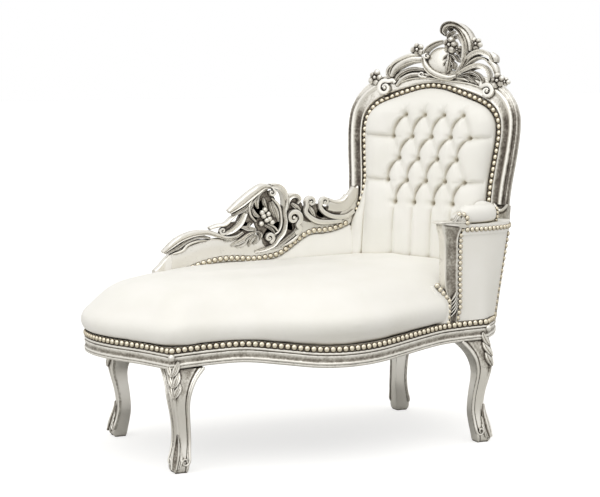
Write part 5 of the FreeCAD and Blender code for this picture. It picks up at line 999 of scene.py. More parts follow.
# %% Bands and leaves of the low rail: points, half widths, heights, section
QUILL = [(-78, 648), (-94, 619), (-118, 598), (-143, 588)]
LOW_BANDS = [
    # strap leaf
    ([(-341, 540), (-293, 575), (-248, 591), (-201, 594), (-169, 585), (-137, 575), (-108, 577), (-85, 590)],
     [4, 8, 9, 9, 8, 7, 6, 4], [8, 12, 14, 14, 14, 12, 10, 8], BEADED_EDGE),
    ([(-332, 536), (-294, 552), (-265, 571), (-229, 582), (-190, 577)], [3, 5, 6, 6, 3], [5, 9, 10, 10, 5],
     RIBBED_LEAF),
    ([(-310, 534), (-280, 543), (-265, 559), (-234, 569), (-202, 570)], [3, 5, 5, 4, 2], [4, 9, 9, 8, 4], ROUND_BAND),
    ([(-146, 566), (-118, 574), (-99, 582)], [3, 6, 3], [5, 9, 6], RIBBED_LEAF),
    # wing with its quill
    (QUILL, [8, 10, 9, 6], [12, 14, 13, 10], CHANNELLED),
    ([(-192, 605), (-169, 612), (-141, 616), (-118, 635), (-103, 645)], [4, 6, 6, 5, 3], [8, 12, 12, 10, 6],
     ROUND_BAND),
    ([(-129, 653), (-92, 678), (-54, 706), (-18, 727), (8, 724)], [6, 12, 13, 11, 6], [10, 14, 16, 18, 14],
     BEADED_EDGE),
    ([(-115, 643), (-78, 661), (-49, 686), (-23, 712), (-2, 720)], [4, 7, 7, 6, 3], [8, 12, 12, 12, 8], RIBBED_LEAF),
    ([(-89, 638), (-66, 656), (-52, 674)], [3, 6, 3], [6, 10, 6], RIBBED_LEAF),
    ([(5, 728), (32, 724), (49, 706), (54, 676), (50, 646), (54, 615), (47, 584), (29, 563), (15, 547), (-14, 534),
      (-45, 528)], [6, 10, 9, 7, 6, 6, 7, 7, 6, 5, 3], [14, 20, 20, 18, 16, 16, 16, 15, 14, 10, 5], CHANNELLED),
    ([(10, 691), (32, 668), (41, 637), (41, 606), (31, 585), (15, 577)], [3, 5, 5, 5, 4, 3], [8, 12, 12, 12, 10, 6],
     ROUND_BAND),
    ([(-42, 621), (-60, 641), (-65, 668), (-54, 691), (-30, 708), (-9, 716)], [3, 4, 5, 5, 5, 3],
     [8, 12, 13, 13, 12, 8], ROUND_BAND),
    # small leaves round the berries, and the leaf below the wing
    ([(-33, 700), (-40, 680), (-35, 660)], [4, 8, 3], [8, 12, 6], RIBBED_LEAF),
    ([(-54, 660), (-45, 643), (-30, 634)], [4, 7, 3], [8, 11, 6], RIBBED_LEAF),
    ([(10, 680), (24, 651), (34, 618)], [4, 8, 3], [8, 12, 6], RIBBED_LEAF),
    ([(3, 678), (10, 652), (22, 632)], [3, 6, 3], [8, 12, 6], RIBBED_LEAF),
    ([(-18, 692), (-14, 674), (-7, 661)], [3, 6, 3], [8, 12, 6], RIBBED_LEAF),
    ([(-42, 590), (-66, 580), (-90, 564), (-123, 551)], [4, 8, 9, 3], [9, 12, 12, 5], RIBBED_LEAF),
    ([(-45, 584), (-71, 572), (-85, 555), (-106, 545)], [4, 7, 8, 3], [9, 12, 11, 5], RIBBED_LEAF),
    ([(-40, 579), (-57, 567), (-66, 547)], [4, 8, 3], [9, 12, 5], RIBBED_LEAF),
    ([(-38, 579), (-40, 566), (-50, 553)], [4, 7, 3], [9, 12, 5], RIBBED_LEAF),
    ([(-42, 597), (-66, 600), (-92, 606)], [4, 8, 3], [9, 12, 5], RIBBED_LEAF),
    ([(-35, 590), (-26, 579), (-31, 564)], [3, 6, 2], [9, 12, 5], RIBBED_LEAF),
    ([(-61, 618), (-68, 607), (-50, 593)], [3, 6, 3], [9, 12, 6], RIBBED_LEAF),
    ([(-14, 609), (10, 595), (24, 574)], [3, 5, 3], [8, 11, 6], RIBBED_LEAF),
    ([(-4, 613), (19, 601), (33, 585)], [3, 4, 3], [8, 10, 6], ROUND_BAND),
    # leaves below and between the scrolls, and the plain end by the stile
    ([(101, 608), (87, 582), (63, 564), (34, 545), (5, 535)], [4, 7, 7, 6, 3], [8, 13, 13, 11, 5], RIBBED_LEAF),
    ([(111, 597), (94, 569), (70, 552), (43, 540)], [4, 6, 6, 3], [7, 10, 10, 5], ROUND_BAND),
    ([(57, 652), (60, 678), (72, 693), (92, 695), (103, 683), (96, 670)], [6, 8, 8, 7, 6, 3], [10, 15, 16, 16, 14, 8],
     CHANNELLED),
    ([(76, 672), (92, 660), (106, 648)], [4, 8, 4], [8, 12, 8], RIBBED_LEAF),
    ([(133, 664), (145, 646), (157, 624)], [4, 7, 3], [6, 10, 5], RIBBED_LEAF),
    ([(203, 680), (228, 672), (252, 674), (268, 690)], [4, 5, 6, 5], [6, 9, 10, 10], ROUND_BAND),
    ([(204, 660), (228, 656), (256, 660), (282, 684), (296, 712)], [14, 16, 18, 16, 10], [3, 3, 3, 3, 3], FLAT_BAND),
]

# %% Scrolls, ground and berries of the low rail
# middle, radius, start, turn, half width, height, leading points
LOW_VOLUTES = [
    ((82, 628), 25, 300, 430, 8.5, 16, [(88, 578), (104, 592)]),
    ((140, 675), 17, 215, -420, 8, 15, [(245, 612), (203, 610), (169, 612), (140, 625), (121, 645)]),
    ((188, 674), 14, 205, -400, 7.5, 13, [(290, 640), (262, 625), (218, 626), (186, 640), (170, 660)]),
    ((0, 570), 15, 290, 420, 6, 15, [(16, 556)]),
    ((-152, 597), 10, 290, -400, 4, 11, [(-128, 592)]),
    ((8, 708), 11, 60, -380, 4, 18, [(10, 727)]),
]
# dark ground behind the pierced places, painted as the shade seen through them: middle, half spans, lean in degrees
LOW_SHADE_GROUND = [(-6, 640, 42, 78, 8), (-62, 640, 58, 26, 46), (-110, 596, 52, 26, 12), (30, 580, 56, 34, 30),
              (80, 640, 40, 52, 0), (150, 640, 46, 28, 8), (205, 640, 44, 18, 4)]
GROUND_LEVEL, GROUND_THICKNESS = -12, 14
GROUND_SHADE = 0.55
LOW_BERRIES = [(-18, 637), (-3, 643), (-14, 656), (1, 628), (-26, 614), (-8, 624), (10, 617), (-23, 648)]
BERRY, BERRY_LEVEL = 8.5, 8

# %% Carve the low rail: bands and scrolls
LEAF_WAX = 0.28
LOW_SINK = 16
low_carving = bmesh.new()
for points, widths, heights, section in LOW_BANDS:
    strap(low_carving, points, widths, heights, section, max(12, 4 * len(points)), wax=LEAF_WAX, sink=LOW_SINK)
for middle, radius, start, turn, half_width, height, lead in LOW_VOLUTES:
    volute(low_carving, middle, radius, start, turn, half_width, height, 0, lead)

# %% Carve the low rail: its dark ground painted as shade, berries, and barbs across the quill
BARB = 6
shade_backing = [bmesh.ops.create_circle(low_carving, cap_ends=True, segments=20, radius=1) for _ in LOW_SHADE_GROUND]
wax_and_shade = low_carving.verts.layers.float["wax_and_shade"]
for made, (x, y, across, up, lean) in zip(shade_backing, LOW_SHADE_GROUND):
    turned = Matrix.Translation((x, y, GROUND_LEVEL)) @ Matrix.Rotation(math.radians(lean), 4, "Z")
    bmesh.ops.transform(low_carving, matrix=turned @ Matrix.Diagonal((across, up, 1, 1)), verts=made["verts"])
    faces = list({face for vert in made["verts"] for face in vert.link_faces})
    out = bmesh.ops.extrude_face_region(low_carving, geom=faces)
    raised = [item for item in out["geom"] if isinstance(item, bmesh.types.BMVert)]
    bmesh.ops.translate(low_carving, vec=(0, 0, GROUND_THICKNESS), verts=raised)
    for vert in made["verts"] + raised:
        vert[wax_and_shade] = GROUND_SHADE
for x, y in LOW_BERRIES:
    button(low_carving, (x, y, BERRY_LEVEL), BERRY, BERRY)
quill = curve_through(QUILL, 60)
for share in evenly(0.12, 0.9, 7):
    index = int(59 * share)
    spot = quill[index]
    across = (quill[index + 1] - spot).normalized().cross(Vector((0, 0, 1)))
    strap(low_carving, [spot - across * BARB, spot, spot + across * BARB], [1.6, 1.8, 1.6], [8, 9, 8], ROUND_BAND, 5)
finished(low_carving, "low_rail_carving_leafed", "silver_leaf_wood", ["low_rail_carving"], LOW_PLACE, sharp=50)

# %% [markdown]
# ## Upholstery
# The covers are leather pulled over soft padding. The CAD cover gives each one its place.
# A copy of it, remeshed to small even faces and relaxed, loses its machined edges, and
# creases are pressed into it afterwards. The tufted back is drawn afresh, because its
# folds are the form: every point's height is worked out from its way to the nearest fold.

# %% A soft copy of a CAD cover
RELAX_ROUNDS = 5
EVERY_WAY = {"use_axis_x": True, "use_axis_y": True, "use_axis_z": True}


def soft_copy(node, voxel):
    """A copy of a CAD cover in millimetres, remeshed to small even faces and relaxed."""
    bm = bmesh.new()
    bm.from_mesh(nodes[node].data)
    bmesh.ops.transform(bm, matrix=nodes[node].matrix_world, verts=bm.verts)
    bmesh.ops.remove_doubles(bm, verts=bm.verts, dist=MM / 20)
    mesh = bpy.data.meshes.new(node + "_start")
    bm.to_mesh(mesh)
    bm.free()
    start = bpy.data.objects.new(node + "_start", mesh)
    bpy.context.collection.objects.link(start)
    remesh = start.modifiers.new("even_faces", "REMESH")
    remesh.mode = "VOXEL"
    remesh.voxel_size = voxel * MM
    even = bpy.data.meshes.new_from_object(start.evaluated_get(bpy.context.evaluated_depsgraph_get()))
    bpy.data.objects.remove(start)
    bm = bmesh.new()
    bm.from_mesh(even)
    bmesh.ops.scale(bm, vec=(1 / MM, 1 / MM, 1 / MM), verts=bm.verts)
    for _ in range(RELAX_ROUNDS):
        bmesh.ops.smooth_vert(bm, verts=bm.verts, factor=0.5, **EVERY_WAY)
    bm.normal_update()
    return bm


# %% [markdown]
# ### Creases
# A crease in leather is sharp where it is pulled and dies away along its length. It is kept
# as a curve, and each point of a cover sinks by its distance to that curve. The same measure
# serves the folds of the tufted back.

# %% Distance to a crease, and pressing one in
CREASE_ENDS = 0.25
CREASE_POWER = 1.4


def near_curve(points, curve):
    """For each point: distance to a run of points, share of the way along it, and side of it."""
    steps = [curve[index + 1] - curve[index] for index in range(len(curve) - 1)]
    lengths = [np.linalg.norm(step) for step in steps]
    best = np.full(len(points), np.inf)
    share, side = np.zeros(len(points)), np.zeros(len(points))
    done = 0.0
    for start, step, length in zip(curve, steps, lengths):
        away = points - start
        part = np.clip(away @ step / max(length * length, 1e-9), 0, 1)
        dist = np.linalg.norm(away - part[:, None] * step, axis=1)
        closer = dist < best
        best = np.where(closer, dist, best)
        share = np.where(closer, (done + part * length) / sum(lengths), share)
        side = np.where(closer, np.sign(step[0] * away[:, 1] - step[1] * away[:, 0]), side)
        done += length
    return best, share, side


def press(bm, curve, depth, reach):
    """Presses a crease into a soft cover along a curve in space; it fades at both ends."""
    points = np.array([vert.co for vert in bm.verts])
    normals = np.array([vert.normal for vert in bm.verts])
    line = np.array([tuple(point) for point in curve_through(curve, 16)])
    dist, share, _ = near_curve(points, line)
    fade = np.clip(np.minimum(share, 1 - share) / CREASE_ENDS, 0.0, 1)
    drop = depth * fade * np.exp(-(dist / reach) ** CREASE_POWER)
    for vert, point in zip(bm.verts, points - normals * drop[:, None]):
        vert.co = point


# %% [markdown]
# ### The tufted back
# The leather is drawn down to buttons in five rows and folded between them. From each
# button a sharp fold climbs to the right, a soft valley climbs to the left, pleats run out
# to the frame, and the lowest buttons pull straight folds down behind the seat.

# %% Buttons and folds, in the back's plane
TUFT_SPREAD, TUFT_RISE, FIRST_TUFT = 65, 67, 54
TUFT_SHIFTS = (13, 14, 15, 22, 26)
TUFT_FLOOR = 20
PAD_EDGE, PAD_CROWN = 22, 58
PAD_LOW = -148
PLEAT_END = 216
BUTTON_SIZE, BUTTON_RISE = 6.5, 3
TUFT_COLUMNS = [(-1.5, -0.5, 0.5, 1.5), (-2, -1, 0, 1, 2)]
tufts = {(row, column): (column * TUFT_SPREAD + shift, FIRST_TUFT + row * TUFT_RISE)
         for row, shift in enumerate(TUFT_SHIFTS) for column in TUFT_COLUMNS[row % 2]}


def fold_curve(first, last, bend):
    """Points of a fold in the plane; bend 1 leaves upward and enters from the side."""
    across, up = last[0] - first[0], last[1] - first[1]
    return np.array([(first[0] + across * ((1 - bend) * part + bend * part * part),
                      first[1] + up * part * (1 + bend * 0.25 * (1 - part))) for part in evenly(0, 1, 10)])


def fold_list():
    """(curve, depth at its start, at its end, reach on its left, on its right, power)"""
    folds = []
    for (row, column), (x, y) in tufts.items():
        sharp_mate, soft_mate = (tufts.get((row + 1, column + lean)) for lean in (0.5, -0.5))
        if sharp_mate:
            folds.append((fold_curve((x, y), sharp_mate, 1.0), 25, 25, 2.2, 8.5, 0.9))
        if soft_mate:
            folds.append((fold_curve((x, y), soft_mate, 0.3), 12, 12, 13, 13, 1.8))
        if row == len(TUFT_SHIFTS) - 1:
            for across, depth in ((15, 15), (-15, 8)):
                folds.append((fold_curve((x, y), (x + across, y + 38), 0.6), depth, 0, 4, 9, 1.1))
        if abs(column) == 2:
            out = 1 if column > 0 else -1
            reaches = (3.5, 16)[::out]
            folds.append((fold_curve((x, y), (out * PLEAT_END, y + 4), 0.0), 21, 15, *reaches, 1.0))
        if row == 0:
            folds.append((fold_curve((x, y), (x, PAD_LOW), 0.0), 17, 11, 4, 9, 1.0))
    return folds


print(len(tufts), "buttons and", len(fold_list()), "folds")

# %% A grid over the opening
COLUMNS, ROWS = 220, 280
TOP_CORNER = 6.3
COVER_INSET = 0.995


def coons(bottom, top, left, right):
    """Points of the patch between four edges, row by row."""
    across = np.linspace(0, 1, COLUMNS + 1)[None, :, None]
    up = np.linspace(0, 1, ROWS + 1)[:, None, None]
    corners = (bottom[0], bottom[-1], top[0], top[-1])
    flat = ((1 - up) * bottom[None] + up * top[None] + (1 - across) * left[:, None] + across * right[:, None]
            - (1 - across) * (1 - up) * corners[0] - across * (1 - up) * corners[1]
            - (1 - across) * up * corners[2] - across * up * corners[3])
    return flat.reshape(-1, 2)


def even_run(points, count):
    """Evenly spaced flat points on the smooth curve through the given ones."""
    return np.array([tuple(point.xy) for point in curve_through(points, count)])


rise = [row_point(opening_arch, place) for place in evenly(0, TOP_CORNER, 40)]
over = [row_point(opening_arch, place) for place in evenly(LAST_ROW - TOP_CORNER, TOP_CORNER, 60)]
right_edge = even_run([(OPENING_HALF, PAD_LOW, 0)] + rise, ROWS + 1)
left_edge = right_edge * (-1, 1)
top_edge = even_run(over, COLUMNS + 1)
bottom_edge = np.array([(x, PAD_LOW) for x in np.linspace(-OPENING_HALF, OPENING_HALF, COLUMNS + 1)])
cover_grid = coons(bottom_edge, top_edge, left_edge, right_edge) * COVER_INSET
print("the tufted cover has", len(cover_grid), "points")

# %% Heights of the cover: a rolled rim, folds and buttons
PAD_LIFT = [(-0.40, 0.55), (-0.20, 0.80), (0.0, 1.0), (0.60, 1.0), (0.80, 0.86), (0.90, 0.58), (0.985, 0.16),
            (1.0, 0.1)]
ROLL_REACH = 60
ROLL_POWER = 2.0
RIM_LEVEL = 5
FOLD_BLEND = 3.0
TUFT_REACH, TUFT_POWER = 9, 1.05


def cover_heights(flat):
    """Height of each point of the grid over the back's plane."""
    dist, _, _ = near_curve(flat, np.concatenate([right_edge[::4], top_edge[::-3], left_edge[::-4]]))
    lift = np.interp(flat[:, 1] / OPENING_HEIGHT, *zip(*PAD_LIFT))
    crown = PAD_EDGE + (PAD_CROWN - PAD_EDGE) * lift
    edge = (1 - (1 - np.clip(dist / ROLL_REACH, 0, 1)) ** ROLL_POWER) ** (1 / ROLL_POWER)
    base = RIM_LEVEL + (crown - RIM_LEVEL) * edge
    total = np.zeros(len(flat))
    for curve, first, last, left_reach, right_reach, power in fold_list():
        away, share, side = near_curve(flat, curve)
        reach = np.where(side > 0, left_reach, right_reach)
        depth = (first + (last - first) * share) * np.exp(-(away / reach) ** power)
        total += depth ** FOLD_BLEND
    for x, y in tufts.values():
        away = np.hypot(flat[:, 0] - x, flat[:, 1] - y)
        total += ((crown - TUFT_FLOOR) * np.exp(-(away / TUFT_REACH) ** TUFT_POWER)) ** FOLD_BLEND
    return np.maximum(base - total ** (1 / FOLD_BLEND), np.minimum(base, TUFT_FLOOR))


# %% The tufted cover and its buttons
RIM_DROPS = (4.6, -8)


def tufted_back():
    """The whole tufted cover, front and sides, closed at its back."""
    bm = bmesh.new()
    bmesh.ops.create_grid(bm, x_segments=COLUMNS, y_segments=ROWS, size=1)
    for vert, (x, y), level in zip(bm.verts, cover_grid, cover_heights(cover_grid)):
        vert.co = (x, y, level)
    bmesh.ops.smooth_vert(bm, verts=[vert for vert in bm.verts if not vert.is_boundary], factor=0.4,
                          use_axis_z=True)
    for level in RIM_DROPS:
        rim_edges = [edge for edge in bm.edges if edge.is_boundary]
        out = bmesh.ops.extrude_edge_only(bm, edges=rim_edges)
        for vert in out["geom"]:
            if isinstance(vert, bmesh.types.BMVert):
                vert.co.z = level
    bmesh.ops.holes_fill(bm, edges=[edge for edge in bm.edges if edge.is_boundary], sides=0)
    return finished(bm, "back_cover_tufted", "faux_leather", ["back_cover"], BACK_PLACE, sharp=180)


back_cover = tufted_back()
buttons = bmesh.new()
for x, y in tufts.values():
    button(buttons, (x, y, TUFT_FLOOR - 0.5), BUTTON_SIZE, BUTTON_RISE, 16)
finished(buttons, "tuft_buttons_covered", "faux_leather", ["tuft_buttons"], BACK_PLACE, sharp=180)

# %% [markdown]
# ### The corner of the two backs
# The leather turns the corner between the low pad and the tall back as one soft strip. It
# narrows upwards along the left stile, and nails follow its edge from row to row. A low
# swelling section, swept upwards and smoothed, gives it the same softness as its neighbours.

# %% Leather in the corner, up the left stile: height, outer edge, share of the swell
CORNER_RUN = [(-150, -256, 1.0), (-60, -256, 1.0), (-12, -256, 1.0), (4, -249, 0.95), (20, -239, 0.85),
              (40, -230, 0.7), (62, -224, 0.55), (84, -219, 0.45), (112, -215, 0.35), (128, -211, 0.3)]
CORNER_SWELL = [(0.0, 0.0), (0.06, 0.35), (0.25, 0.75), (0.5, 0.98), (0.75, 1.0), (0.93, 0.8), (1.0, 0.35),
                (1.0, 0.0)]
CORNER_INNER, CORNER_LEVEL, CORNER_RISE = -200, 3.8, 20
corner_bm = bmesh.new()
sweep(corner_bm, [[Vector((edge + (CORNER_INNER - edge) * across, up, CORNER_LEVEL + CORNER_RISE * swell * rise))
                   for across, rise in CORNER_SWELL] for up, edge, swell in CORNER_RUN])
corner = finished(corner_bm, "back_cover_corner", "faux_leather", place=BACK_PLACE, levels=2, sharp=180)

# %% [markdown]
# ### The seat
# The seat is one deep cushion, crowned in the middle and rolled over its edge to the nails.
# Real leather shows short stress creases where it is drawn round a corner. Three of them
# fan from the nails at the front corner of the foot end, pressed into a soft copy.

# %% The seat cushion
SEAT_FACE = 7
PAD_FACE = 4.5
CREASE_DEPTH, CREASE_WIDTH = 5.0, 5.5
SEAT_CREASES = [
    [(-536, -176, 403), (-532, -186, 382), (-524, -196, 356)],
    [(-497, -262, 384), (-505, -252, 368), (-508, -240, 350)],
    [(-452, -268, 374), (-470, -264, 360), (-490, -256, 348)],
]
seat_bm = soft_copy("seat_cover", SEAT_FACE)
for crease in SEAT_CREASES:
    press(seat_bm, crease, CREASE_DEPTH, CREASE_WIDTH)
seat = finished(seat_bm, "seat_cover_soft", "faux_leather", ["seat_cover"], sharp=180)

# %% The low pad and the inner pad of the arm
for node in ("low_back_cover", "arm_inner_pad"):
    pad = finished(soft_copy(node, PAD_FACE), node + "_soft", "faux_leather", [node], sharp=180)

# %% [markdown]
# ### The arm pad
# The arm carries a fat roll that bends round the corner towards the back. An upholsterer
# stuffs a sleeve of leather. Here a squashed round is swept along the arm's bend, full in
# the middle and rounded at its front, and the mesh is relaxed until the roll is even.

# %% The arm pad's line, from the post to the back
PAD_RUN = [(372, -226), (404, -227), (440, -227), (478, -218), (505, -182), (519, -128), (528, -88)]
PAD_STATIONS = 44
pad_line = curve_through([(x, y, 0) for x, y in PAD_RUN], PAD_STATIONS)
for _ in range(60):
    even = [here * 0.5 + (before + after) * 0.25
            for before, here, after in zip(pad_line, pad_line[1:], pad_line[2:])]
    pad_line = pad_line[:1] + even + pad_line[-1:]
print("the pad is", round(sum((b - a).length for a, b in zip(pad_line, pad_line[1:]))), "mm long")

# %% The arm pad
PAD_FLOOR, PAD_HALF, PAD_WAIST, PAD_RISE = 642.5, 29, 24, 55
PAD_SWELL = [(0.0, 0.35), (0.03, 0.72), (0.08, 0.93), (0.16, 1.0), (0.9, 1.0), (1.0, 0.9)]
PAD_POINTS = 28


def squashed(value, power):
    """A sine or cosine drawn towards a box, with its sign kept."""
    return math.copysign(abs(value) ** power, value)


rings = []
for index, point in enumerate(pad_line):
    ahead = (pad_line[min(index + 1, PAD_STATIONS - 1)] - pad_line[max(index - 1, 0)]).normalized()
    side = Vector((ahead.y, -ahead.x, 0))
    swell = smooth(PAD_SWELL, index / (PAD_STATIONS - 1))
    ring = []
    for turn in evenly(0, 2 * math.pi, PAD_POINTS + 1)[:-1]:
        up = PAD_WAIST + (PAD_RISE - PAD_WAIST) * swell * squashed(math.sin(turn), 0.85)
        ring.append(point + side * (PAD_HALF * swell * squashed(math.cos(turn), 0.8))
                    + Vector((0, 0, PAD_FLOOR + max(0, up))))
    rings.append(ring)
pad_bm = bmesh.new()
sweep(pad_bm, rings)
for _ in range(14):
    bmesh.ops.smooth_vert(pad_bm, verts=pad_bm.verts, factor=0.5, **EVERY_WAY)
arm_pad = finished(pad_bm, "arm_pad_cover_soft", "faux_leather", ["arm_pad_cover", "arm_pad_foam"], levels=1,
                   sharp=180)

# %% [markdown]
# ### The seat cover's end by the arm post
# The seat's leather is drawn up to the nails beside the post. The CAD cover stops short of
# them, so a small padded strip fills the place. Its front edge follows the nails upwards.

# %% Leather drawn to the nails beside the post: height, right edge, front
FILL_RUN = [(343, 341, -251), (380, 341, -254), (418, 341, -254), (440, 324, -251), (458, 307, -246),
            (468, 298, -242)]
FILL_LEFT, FILL_REAR = 280, -214
fill_bm = bmesh.new()
sweep(fill_bm, [[Vector((x, y, up)) for x, y in (
    (FILL_LEFT, front + 16), (FILL_LEFT + 16, front + 1), (right - 14, front - 1), (right - 3, front + 1.5),
    (right, front + 7), (right, FILL_REAR), (FILL_LEFT, FILL_REAR))] for up, right, front in FILL_RUN])
fill = finished(fill_bm, "seat_cover_arm_end", "faux_leather", levels=2, sharp=180)

# %% [markdown]
# ## The arm
# The arm's front is a carved post: a broad hollow between a bright round edge and a thin
# ridge, reeds at its foot, and a small curled cap over the pad. It is one section carried
# up between two measured edges.

# %% The edges of the arm post, as shares of the arm's height and of the seat's half length
POST_LEFT = [(0.0, 0.740), (0.20, 0.742), (0.29, 0.738), (0.36, 0.716), (0.45, 0.705), (0.60, 0.704), (0.80, 0.702),
             (0.90, 0.694), (0.97, 0.680)]
POST_RIGHT = [(0.0, 0.783), (0.12, 0.792), (0.24, 0.799), (0.36, 0.797), (0.50, 0.794), (0.70, 0.796),
              (0.88, 0.800), (0.97, 0.825)]
POST_FOOT, ARM_TOP = 335, 642
ARM_FRONT = CENTRE_Y - 1.015 * HALF_Y - 2
ARM_PLACE = Matrix(((1, 0, 0, 0), (0, 0, -1, ARM_FRONT), (0, 1, 0, 0), (0, 0, 0, 1)))
POST_SECTION = [
    (0.0, -34, 0.1), (0.0, -3, 0.0), (0.02, -0.6, -0.08), (0.05, 0.2, -0.12), (0.09, -0.6, 0.0), (0.15, -3.0, 0.24),
    (0.28, -6.0, 0.40), (0.48, -7.6, 0.42), (0.68, -7.2, 0.48), (0.82, -4.6, 0.52), (0.89, -0.8, 0.1),
    (0.93, -0.4, 0.0), (0.97, -2.5, 0.5), (1.0, -6, 0.5), (1.0, -34, 0.2)]
HOLLOW_END = [(0.88, 1.0), (0.98, 0.2)]
DEEPEST_HOLLOW = -10


def arm_point(up, across, level=0.0):
    """Point of the arm's front plane from two shares."""
    return Vector((CENTRE_X + HALF_X * across, POST_FOOT + (ARM_TOP - POST_FOOT) * up, level))


# %% The arm post's board
arm_bm = bmesh.new()
rings = []
for part in evenly(0.03, 1.01, 42):
    left, right = smooth(POST_LEFT, part), smooth(POST_RIGHT, part)
    hollow = smooth(HOLLOW_END, part)
    rings.append([arm_point(part, left + (right - left) * share, level * hollow if level > DEEPEST_HOLLOW else level)
                  for share, level, _ in POST_SECTION])
sweep(arm_bm, rings, [wax for _, _, wax in POST_SECTION])

# %% The cap: a ledge and a knob, each an outline grown and rounded, with two small bands
CAP_LEDGE = [(1.004, 0.70), (1.010, 0.670), (1.026, 0.645), (1.038, 0.66), (1.038, 0.71), (1.036, 0.76),
             (1.034, 0.83), (0.985, 0.83), (0.990, 0.76)]
CAP_KNOB = [(1.0, 0.78), (1.06, 0.775), (1.10, 0.792), (1.122, 0.826), (1.10, 0.858), (1.05, 0.874), (0.99, 0.868),
            (0.965, 0.84), (0.972, 0.80)]
CAP_LAYERS = [(0.97, -34), (1.0, -30), (1.0, -2), (0.95, 2.2), (0.84, 3.6), (0.5, 2.4)]
CAP_POINTS = 26
CAP_WAX = -0.02
CAP_BANDS = [
    ([(1.024, 0.652), (1.030, 0.70), (1.030, 0.75), (1.026, 0.80), (1.022, 0.84)], [2, 3.2, 3, 3, 2],
     [3, 5.5, 5, 5.5, 3], ROUND_BAND),
    ([(1.032, 0.74), (1.046, 0.765), (1.080, 0.778), (1.096, 0.80), (1.080, 0.82), (1.060, 0.808)],
     [2, 3.6, 4, 3, 2], [2, 5, 5.5, 5, 3], CHANNELLED),
]
for outline in (CAP_LEDGE, CAP_KNOB):
    cap_points = curve_through([arm_point(up, across) for up, across in outline], CAP_POINTS)
    cap_middle = sum(cap_points, Vector()) / len(cap_points)
    sweep(arm_bm, [[cap_middle + (point - cap_middle) * grow + Vector((0, 0, level)) for point in cap_points]
                   for grow, level in CAP_LAYERS], [CAP_WAX] * CAP_POINTS)
for points, widths, heights, section in CAP_BANDS:
    strap(arm_bm, [arm_point(up, across) for up, across in points], widths, heights, section, 20, floor=2)

# %% Five reeds at the foot, and the flat shoulder that the left nails stand on
REEDS, REED_STEP, REED_FOOT, REED_HEAD = 5, 0.036, 0.14, 0.26
REED_LEVEL = -3
SHOULDER = [(342, 398, 0), (340, 422, 0), (321, 444, 0), (299, 470, 0)]
for step in range(REEDS):
    low, high = REED_FOOT + step * REED_STEP, REED_HEAD + step * REED_STEP
    left, right = smooth(POST_LEFT, low), smooth(POST_RIGHT, high)
    reed = [arm_point(low, left) + Vector((4, 0, 0)), arm_point(low + 0.05, (left + right) / 2) + Vector((3, 0, 0)),
            arm_point(high - 0.02, right) - Vector((4, 0, 0))]
    strap(arm_bm, reed, [1.4, 2.6, 1.2], [3.5, 5.5, 2.5], ROUND_BAND, 12, floor=REED_LEVEL)
strap(arm_bm, SHOULDER, [4, 6, 6, 5], [1, 1, 1, 1], ROUND_BAND, 16, floor=REED_LEVEL, sink=16)
finished(arm_bm, "arm_post_carved", "silver_leaf_wood", ["arm_post"], ARM_PLACE, sharp=40)

# %% [markdown]
# ## Decorative nails
# The nails are stamped domes set so close that they touch. One row runs right round the
# seat, corners too. On the arm, rows run down both sides of the post, round the cap, up
# the rear of the pad and down the rear edge of the outer panel.

# %% One nail, and a row of them
NAIL_RADIUS, NAIL_HEIGHT, NAIL_PITCH = 8.5, 6.2, 18.0
ARM_NAIL_RADIUS, ARM_NAIL_PITCH = 7.5, 15.7


def nail_row(bm, points, outward_of, pitch=NAIL_PITCH, radius=NAIL_RADIUS, closed=False):
    """Domes at even steps along a run of points, each standing square to its face."""
    run = [Vector(point) for point in points]
    lengths = [0.0]
    for first, second in zip(run, run[1:]):
        lengths.append(lengths[-1] + (second - first).length)
    count = round(lengths[-1] / pitch)
    dome = Matrix.Diagonal((radius, radius, radius * NAIL_HEIGHT / NAIL_RADIUS, 1))
    for step in range(count if closed else count + 1):
        target = lengths[-1] * step / count
        index = max(i for i in range(len(run) - 1) if lengths[i] <= target + 1e-6)
        index = min(index, len(run) - 2)
        part = (target - lengths[index]) / max(lengths[index + 1] - lengths[index], 1e-6)
        middle = run[index].lerp(run[index + 1], part)
        before, after = run[max(index - 1, 0)], run[min(index + 2, len(run) - 1)]
        outward = outward_of((after - before).normalized(), target / lengths[-1])
        made = bmesh.ops.create_uvsphere(bm, u_segments=12, v_segments=6, radius=1)
        turn = outward.to_track_quat("Z", "Y").to_matrix().to_4x4()
        bmesh.ops.transform(bm, matrix=Matrix.Translation(middle) @ turn @ dome, verts=made["verts"])
    print("a row of", step + 1, "nails")


def out_of_plan(ahead, share):
    """Level direction to the right of travel."""
    return Vector((ahead.y, -ahead.x, 0)).normalized()


# %% Nails round the seat
corner_of = {sides: post_corner(*sides) for sides in CORNERS.values()}
front_run = [(x, front_edge(x) + NAIL_RECESS, front_nail(x)) for x in evenly(
    corner_of[-1, -1][0] + NAIL_RECESS, corner_of[1, -1][0] - NAIL_RECESS, 90)]
head_run = [(head_edge(y) - NAIL_RECESS, y, slope_height(head_edge(y))) for y in evenly(
    corner_of[1, -1][1] + NAIL_RECESS, corner_of[1, 1][1] - NAIL_RECESS, 60)]
rear_run = [(x, rear_edge(x) - NAIL_RECESS, slope_height(x)) for x in evenly(
    corner_of[1, 1][0] - NAIL_RECESS, corner_of[-1, 1][0] + NAIL_RECESS, 90)]
foot_run = [(foot_edge(y) + NAIL_RECESS, y, foot_nail(y)) for y in evenly(
    corner_of[-1, 1][1] - NAIL_RECESS, corner_of[-1, -1][1] + NAIL_RECESS, 60)]
seat_nails = bmesh.new()
nail_row(seat_nails, front_run + head_run + rear_run + foot_run + front_run[:1], out_of_plan, closed=True)
finished(seat_nails, "seat_nails_row", "polished_nails", ["seat_nails"], sharp=180)

